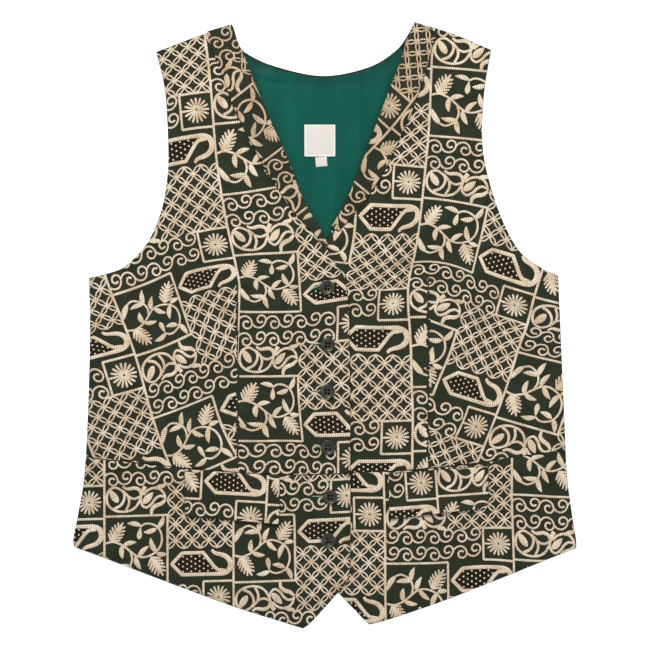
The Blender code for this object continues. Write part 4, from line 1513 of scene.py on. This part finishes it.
def buttons_and_holes():
    """The buttons with their thread, and the worked holes that gape towards them."""
    slits, upper_threads, lower_threads, bars, shanks = [], [], [], [], []
    for number, (place, gape) in enumerate(zip(BUTTONS, GAPES), start=1):
        seat = button(number, place)
        under_button = place.x - BUTTON_RADIUS + HOLE_TUCK
        ends = np.array(
            [(HOLE_START, place.y + gape.start_y), (under_button, place.y + gape.end_y)]
        )
        level = HEIGHTS["right"].read(ends[:, 0], ends[:, 1]).max()
        middle = even(ends, 7)
        spread = np.stack([np.zeros(7), np.linspace(0.1, 0.5, 7) * gape.width], axis=1)
        slits.append((middle, level, np.linspace(0.3, 1, 7) * gape.width))
        upper_threads.append((middle + spread, level + THREAD_HEIGHT * 0.6))
        lower_threads.append((middle - spread, level + THREAD_HEIGHT * 0.6))
        for hand_y in (-1, 1):
            at = place.y + hand_y * THREAD_HOLE_OFFSET
            reach = THREAD_HOLE_OFFSET
            bar = even(np.array([(place.x - reach, at), (place.x + reach, at)]), 5)
            bars.append((bar, seat + BUTTON_THICK - BUTTON_DISH - 0.1))
            # The same thread, deep in the holes, made near black so that it also paints the shade
            # inside them
            shanks.append((bar + (bar - bar.mean(0)) * 0.8, seat - 0.1))
    sewn_lines("buttonhole_threads", upper_threads, 1.0, 0.5, SAGE_THREAD)
    sewn_lines("buttonhole_edges", lower_threads, 0.9, 0.5, GREEN_THREAD)
    for number, (middle, level, widths) in enumerate(slits, start=1):
        sewn_lines(f"buttonhole_{number}", [(middle, level)], widths, 0.5, GREEN_THREAD)
    sewn_lines("button_thread", bars, 0.4, 0.2, DARK_THREAD)
    sewn_lines("button_shanks_painted_shade", shanks, 2.8, 0.3, SHADED_SHANK)


class Look:
    """A material and short ways to add nodes to it."""

    def __init__(self, name, colour, roughness):
        self.material = bpy.data.materials.new(name)
        self.material.use_nodes = True
        self.tree = self.material.node_tree
        self.shader = self.tree.nodes["Principled BSDF"]
        self.set("Base Color", (*colour, 1))
        self.set("Roughness", roughness)
        self.set("Metallic", 0.0)

    def set(self, name, value):
        self.shader.inputs[name].default_value = value

    def node(self, kind, **values):
        made = self.tree.nodes.new(kind)
        for name, value in values.items():
            setattr(made, name, value)
        return made

    def link(self, start, end):
        self.tree.links.new(start, end)

    def sums(self, how, a, b):
        made = self.node("ShaderNodeMath", operation=how)
        for socket_in, value in zip(made.inputs, (a, b)):
            if isinstance(value, (int, float)):
                socket_in.default_value = value
            else:
                self.link(value, socket_in)
        return made.outputs[0]

    def times(self, a, b):
        return self.sums("MULTIPLY", a, b)

    def plus(self, a, b):
        return self.sums("ADD", a, b)

    def ridges(self, along, pitch):
        """A sine wave along a coordinate, from -1 to 1."""
        return self.sums("SINE", self.times(along, 2 * math.pi / pitch), 0.0)

    def paint(self, colour):
        self.link(colour, self.shader.inputs["Base Color"])

    def split(self, vector):
        made = self.node("ShaderNodeSeparateXYZ")
        self.link(vector, made.inputs[0])
        return made.outputs

    def stitch(self):
        """The two coordinates that a piece was sewn or marked with."""
        return self.split(self.node("ShaderNodeUVMap", uv_map="stitch").outputs["UV"])

    def noise(self, vector, scale, detail=2.0):
        made = self.node("ShaderNodeTexNoise")
        made.inputs["Scale"].default_value = scale
        made.inputs["Detail"].default_value = detail
        self.link(vector, made.inputs["Vector"])
        return made.outputs["Fac"]

    def ramp(self, factor, *stops):
        made = self.node("ShaderNodeValToRGB")
        elements = made.color_ramp.elements
        while len(elements) < len(stops):
            elements.new(0.5)
        for element, (at, colour) in zip(elements, stops):
            element.position = at
            element.color = (*colour, 1)
        self.link(factor, made.inputs["Fac"])
        return made.outputs["Color"]

    def bump(self, height, distance, strength=1.0):
        made = self.node("ShaderNodeBump")
        made.inputs["Distance"].default_value = distance * MM
        made.inputs["Strength"].default_value = strength
        self.link(height, made.inputs["Height"])
        self.link(made.outputs["Normal"], self.shader.inputs["Normal"])

    def place(self):
        return self.node("ShaderNodeTexCoord").outputs["Object"]


def srgb(red, green, blue):
    """A colour given as it shows, in linear light."""
    values = np.array((red, green, blue)) / 255
    linear = np.where(values <= 0.04045, values / 12.92, ((values + 0.055) / 1.055) ** 2.4)
    return tuple(float(v) for v in linear)


def thread_look(name, dark, middle, pale, pitch=1.25):
    """Satin stitch: fine ridges across each band, from its own stitch coordinates."""
    dark, middle, pale = (srgb(*shade) for shade in (dark, middle, pale))
    look = Look(name, middle, 0.62)
    stitch = look.stitch()
    place = look.place()
    ridge = look.plus(look.times(look.ridges(stitch["X"], pitch), 0.5), 0.5)
    patch = look.noise(place, 90.0, 3.0)
    fine = look.noise(place, 1100.0)
    # The stitch ridges paint shade into the grooves between stitches and a painted highlight on
    # their crowns; the patch and fine noise are the thread's own uneven tone
    tone = look.plus(look.times(ridge, 0.34), look.times(patch, 0.5))
    tone = look.plus(tone, look.times(fine, 0.42))
    colour = look.ramp(tone, (0.3, dark), (0.62, middle), (0.95, pale))
    # Painted shadow darkens each band's edges, where its stitches meet the cloth
    rim = look.times(look.sums("SUBTRACT", RIM_BREADTH, stitch["Y"]), 4.0)
    rim = look.sums("MINIMUM", look.sums("MAXIMUM", rim, 0.0), 1.0)
    rim_shadow_mix = look.node("ShaderNodeMix", data_type="RGBA", blend_type="MIX")
    look.link(look.times(rim, RIM_SHADOW), rim_shadow_mix.inputs["Factor"])
    look.link(colour, rim_shadow_mix.inputs["A"])
    rim_shadow_mix.inputs["B"].default_value = (*srgb(12, 9, 5), 1)
    look.paint(rim_shadow_mix.outputs["Result"])
    look.bump(look.plus(ridge, look.times(fine, 0.8)), 0.25, 0.65)
    look.set("Sheen Weight", 0.06)
    look.set("Sheen Roughness", 0.4)
    look.set("Specular IOR Level", 0.08)
    return look.material


def ground_look():
    """A dark twill of green and brown."""
    look = Look("ground_twill", srgb(36, 44, 33), 0.9)
    place = look.place()
    parts = look.split(place)
    twill = look.ridges(look.plus(parts["X"], look.times(parts["Y"], 0.8)), 0.9 * MM)
    fine = look.noise(place, 1500.0)
    patch = look.noise(place, 60.0, 3.0)
    tone = look.plus(look.times(twill, 0.12), look.times(fine, 0.6))
    tone = look.plus(tone, look.times(patch, 0.3))
    shades = ((0.25, srgb(22, 26, 18)), (0.5, srgb(41, 48, 35)), (0.8, srgb(64, 67, 50)))
    look.paint(look.ramp(tone, *shades))
    look.bump(tone, 0.25, 0.7)
    look.set("Sheen Weight", 0.03)
    look.set("Specular IOR Level", 0.15)
    return look.material


def fill_look():
    look = Look("paisley_fill", srgb(30, 27, 17), 0.85)
    fine = look.noise(look.place(), 1200.0)
    look.paint(look.ramp(fine, (0.3, srgb(15, 14, 8)), (0.75, srgb(46, 41, 26))))
    look.bump(fine, 0.3, 0.7)
    look.set("Specular IOR Level", 0.12)
    return look.material


def satin_look():
    look = Look("green_satin", srgb(2, 78, 67), 0.5)
    place = look.place()
    stretched = look.node("ShaderNodeMapping")
    stretched.inputs["Scale"].default_value = (1.0, 0.12, 1.0)
    look.link(place, stretched.inputs["Vector"])
    # Stretched noise for the satin's folds: it paints their shade and sheen into the colour, and
    # bumps them
    folds = look.noise(stretched.outputs["Vector"], 70.0)
    fine = look.noise(place, 1400.0)
    tone = look.plus(look.times(folds, 0.8), look.times(fine, 0.2))
    shades = ((0.3, srgb(1, 70, 59)), (0.52, srgb(2, 78, 66)), (0.75, srgb(4, 86, 73)))
    colour = look.ramp(tone, *shades)
    # The seam round the neck is a dark line of its own; past it, painted shade darkens the satin
    # towards the neck, and painted shadow of the lapels darkens it beside them
    gaps = look.stitch()
    near_neck, near_lapel = (look.times(gaps[axis], 1 / SHADE_REACH) for axis in ("X", "Y"))
    white = (1.0, 1.0, 1.0)
    stops = ((0.08, (0.3, 0.36, 0.33)), (0.16, (0.76, 0.76, 0.76)), (0.9, white))
    seam = look.ramp(near_neck, *stops)
    stops = ((0.25, (0.8, 0.8, 0.8)), (0.6, (0.93, 0.93, 0.93)), (1.0, white))
    shade = look.ramp(near_lapel, *stops)
    for factor in (seam, shade):
        painted_shade_mix = look.node("ShaderNodeMix", data_type="RGBA", blend_type="MULTIPLY")
        painted_shade_mix.inputs["Factor"].default_value = 1.0
        look.link(colour, painted_shade_mix.inputs["A"])
        look.link(factor, painted_shade_mix.inputs["B"])
        colour = painted_shade_mix.outputs["Result"]
    look.paint(colour)
    look.bump(folds, 0.6, 0.5)
    look.set("Specular IOR Level", 0.1)
    return look.material


def horn_look():
    look = Look("horn", srgb(50, 48, 38), 0.3)
    cloud = look.noise(look.place(), 220.0, 4.0)
    shades = ((0.3, srgb(26, 25, 18)), (0.6, srgb(52, 49, 39)), (0.85, srgb(96, 92, 78)))
    look.paint(look.ramp(cloud, *shades))
    look.set("Coat Weight", 0.2)
    look.set("Coat Roughness", 0.2)
    return look.material


# Thread deep in the button holes, near black and without gloss, partly thread and partly painted
# shade in the holes
def shank_and_shade_look():
    look = Look("shank_thread_painted_shade", srgb(2, 3, 2), 1.0)
    look.set("Specular IOR Level", 0.0)
    return look.material


def woven_look():
    look = Look("label_weave", srgb(216, 211, 202), 0.75)
    parts = look.split(look.place())
    weave = look.times(look.ridges(parts["X"], 0.6 * MM), look.ridges(parts["Y"], 0.8 * MM))
    look.bump(weave, 0.12, 0.6)
    look.set("Sheen Weight", 0.1)
    return look.material


def floor_look():
    look = Look("pale_surface", srgb(248, 248, 248), 0.95)
    look.set("Specular IOR Level", 0.1)
    look.set("Emission Color", (1.0, 1.0, 1.0, 1.0))
    look.set("Emission Strength", 0.6)
    # Seen from below, the surface lets the underside of the garment show
    behind = look.node("ShaderNodeNewGeometry").outputs["Backfacing"]
    either = look.node("ShaderNodeMixShader")
    clear = look.node("ShaderNodeBsdfTransparent")
    end = next(n for n in look.material.node_tree.nodes if n.type == "OUTPUT_MATERIAL")
    look.link(behind, either.inputs[0])
    look.link(look.shader.outputs[0], either.inputs[1])
    look.link(clear.outputs[0], either.inputs[2])
    look.link(either.outputs[0], end.inputs["Surface"])
    return look.material


THREAD = thread_look("sand_thread", (140, 108, 70), (209, 189, 157), (248, 240, 225), pitch=2.0)
# The lapels' thread is the sand thread painted darker, as painted shade on lapels that tilt away
# from the light
SHADED_LAPEL_THREAD = thread_look(
    "lapel_thread_painted_shade", (116, 86, 54), (188, 162, 127), (230, 216, 192), pitch=2.0
)
GREEN_THREAD = thread_look("emerald_thread", (6, 40, 34), (10, 60, 50), (26, 92, 76))
SAGE_THREAD = thread_look("sage_thread", (70, 108, 84), (124, 164, 134), (178, 206, 178))
DARK_THREAD = thread_look("dark_thread", (1, 3, 2), (4, 8, 6), (14, 20, 17))
FILL = fill_look()
SHADED_SHANK = shank_and_shade_look()
GROUND = ground_look()
SATIN = satin_look()
HORN = horn_look()
WOVEN = woven_look()
PALE_THREAD = thread_look("label_stitch", (190, 186, 176), (226, 222, 212), (250, 248, 240))

back()
lining()
for side in ("left", "right"):
    for part in ("lower", "upper"):
        front_panel(f"front_{part}_{side}", side)
    lapel(side)
    flap(side)

label("label", LABEL_AT, LABEL_WIDTH, LABEL_HEIGHT)
selvedge(LABEL_AT, LABEL_WIDTH, LABEL_HEIGHT)
label("size_tag", TAG_AT, TAG_WIDTH, TAG_HEIGHT, TAG_TURN)

buttons_and_holes()


# The surface under the garment, and the studio, in metres
FLOOR_HALF = 3.0
FLOOR_DROP = 0.0002
EYE_HEIGHT = 3.0
EYE_LENS = 161.3
WORLD_STRENGTH = 0.45

surface = bpy.data.meshes.new("floor")
spots = [(FLOOR_HALF * x, FLOOR_HALF * y, -FLOOR_DROP) for x, y in CORNERS]
surface.from_pydata(spots, [], [(0, 1, 2, 3)])
surface.materials.append(floor_look())
put_in_scene("floor", surface)


# The studio's two soft lights, which look at the origin
Lamp = namedtuple("Lamp", "name place size power colour")
LAMPS = rows(
    Lamp,
    ("key", (-0.4, 1.4, 1.75), 1.0, 42.0, (1.0, 0.99, 0.97)),
    ("fill", (1.6, -0.5, 1.7), 1.6, 14.0, (0.98, 0.98, 1.0)),
)
for row in LAMPS:
    light = bpy.data.lights.new(row.name, "AREA")
    light.shape = "DISK"
    light.size, light.energy, light.color = row.size, row.power, row.colour
    lamp = put_in_scene(row.name, light)
    lamp.location = row.place
    lamp.rotation_euler = Vector(row.place).to_track_quat("Z", "Y").to_euler()

world = bpy.data.worlds.new("pale_room")
world.use_nodes = True
background = world.node_tree.nodes["Background"].inputs
background["Color"].default_value = (0.95, 0.97, 1.0, 1)
background["Strength"].default_value = WORLD_STRENGTH
bpy.context.scene.world = world
bpy.context.scene.view_settings.view_transform = "Standard"

eye = bpy.data.cameras.new("camera")
eye.lens = EYE_LENS
eye.sensor_width = 36.0
camera = put_in_scene("camera", eye)
camera.location = (-0.0001, 0.0003, EYE_HEIGHT)
bpy.context.scene.camera = camera
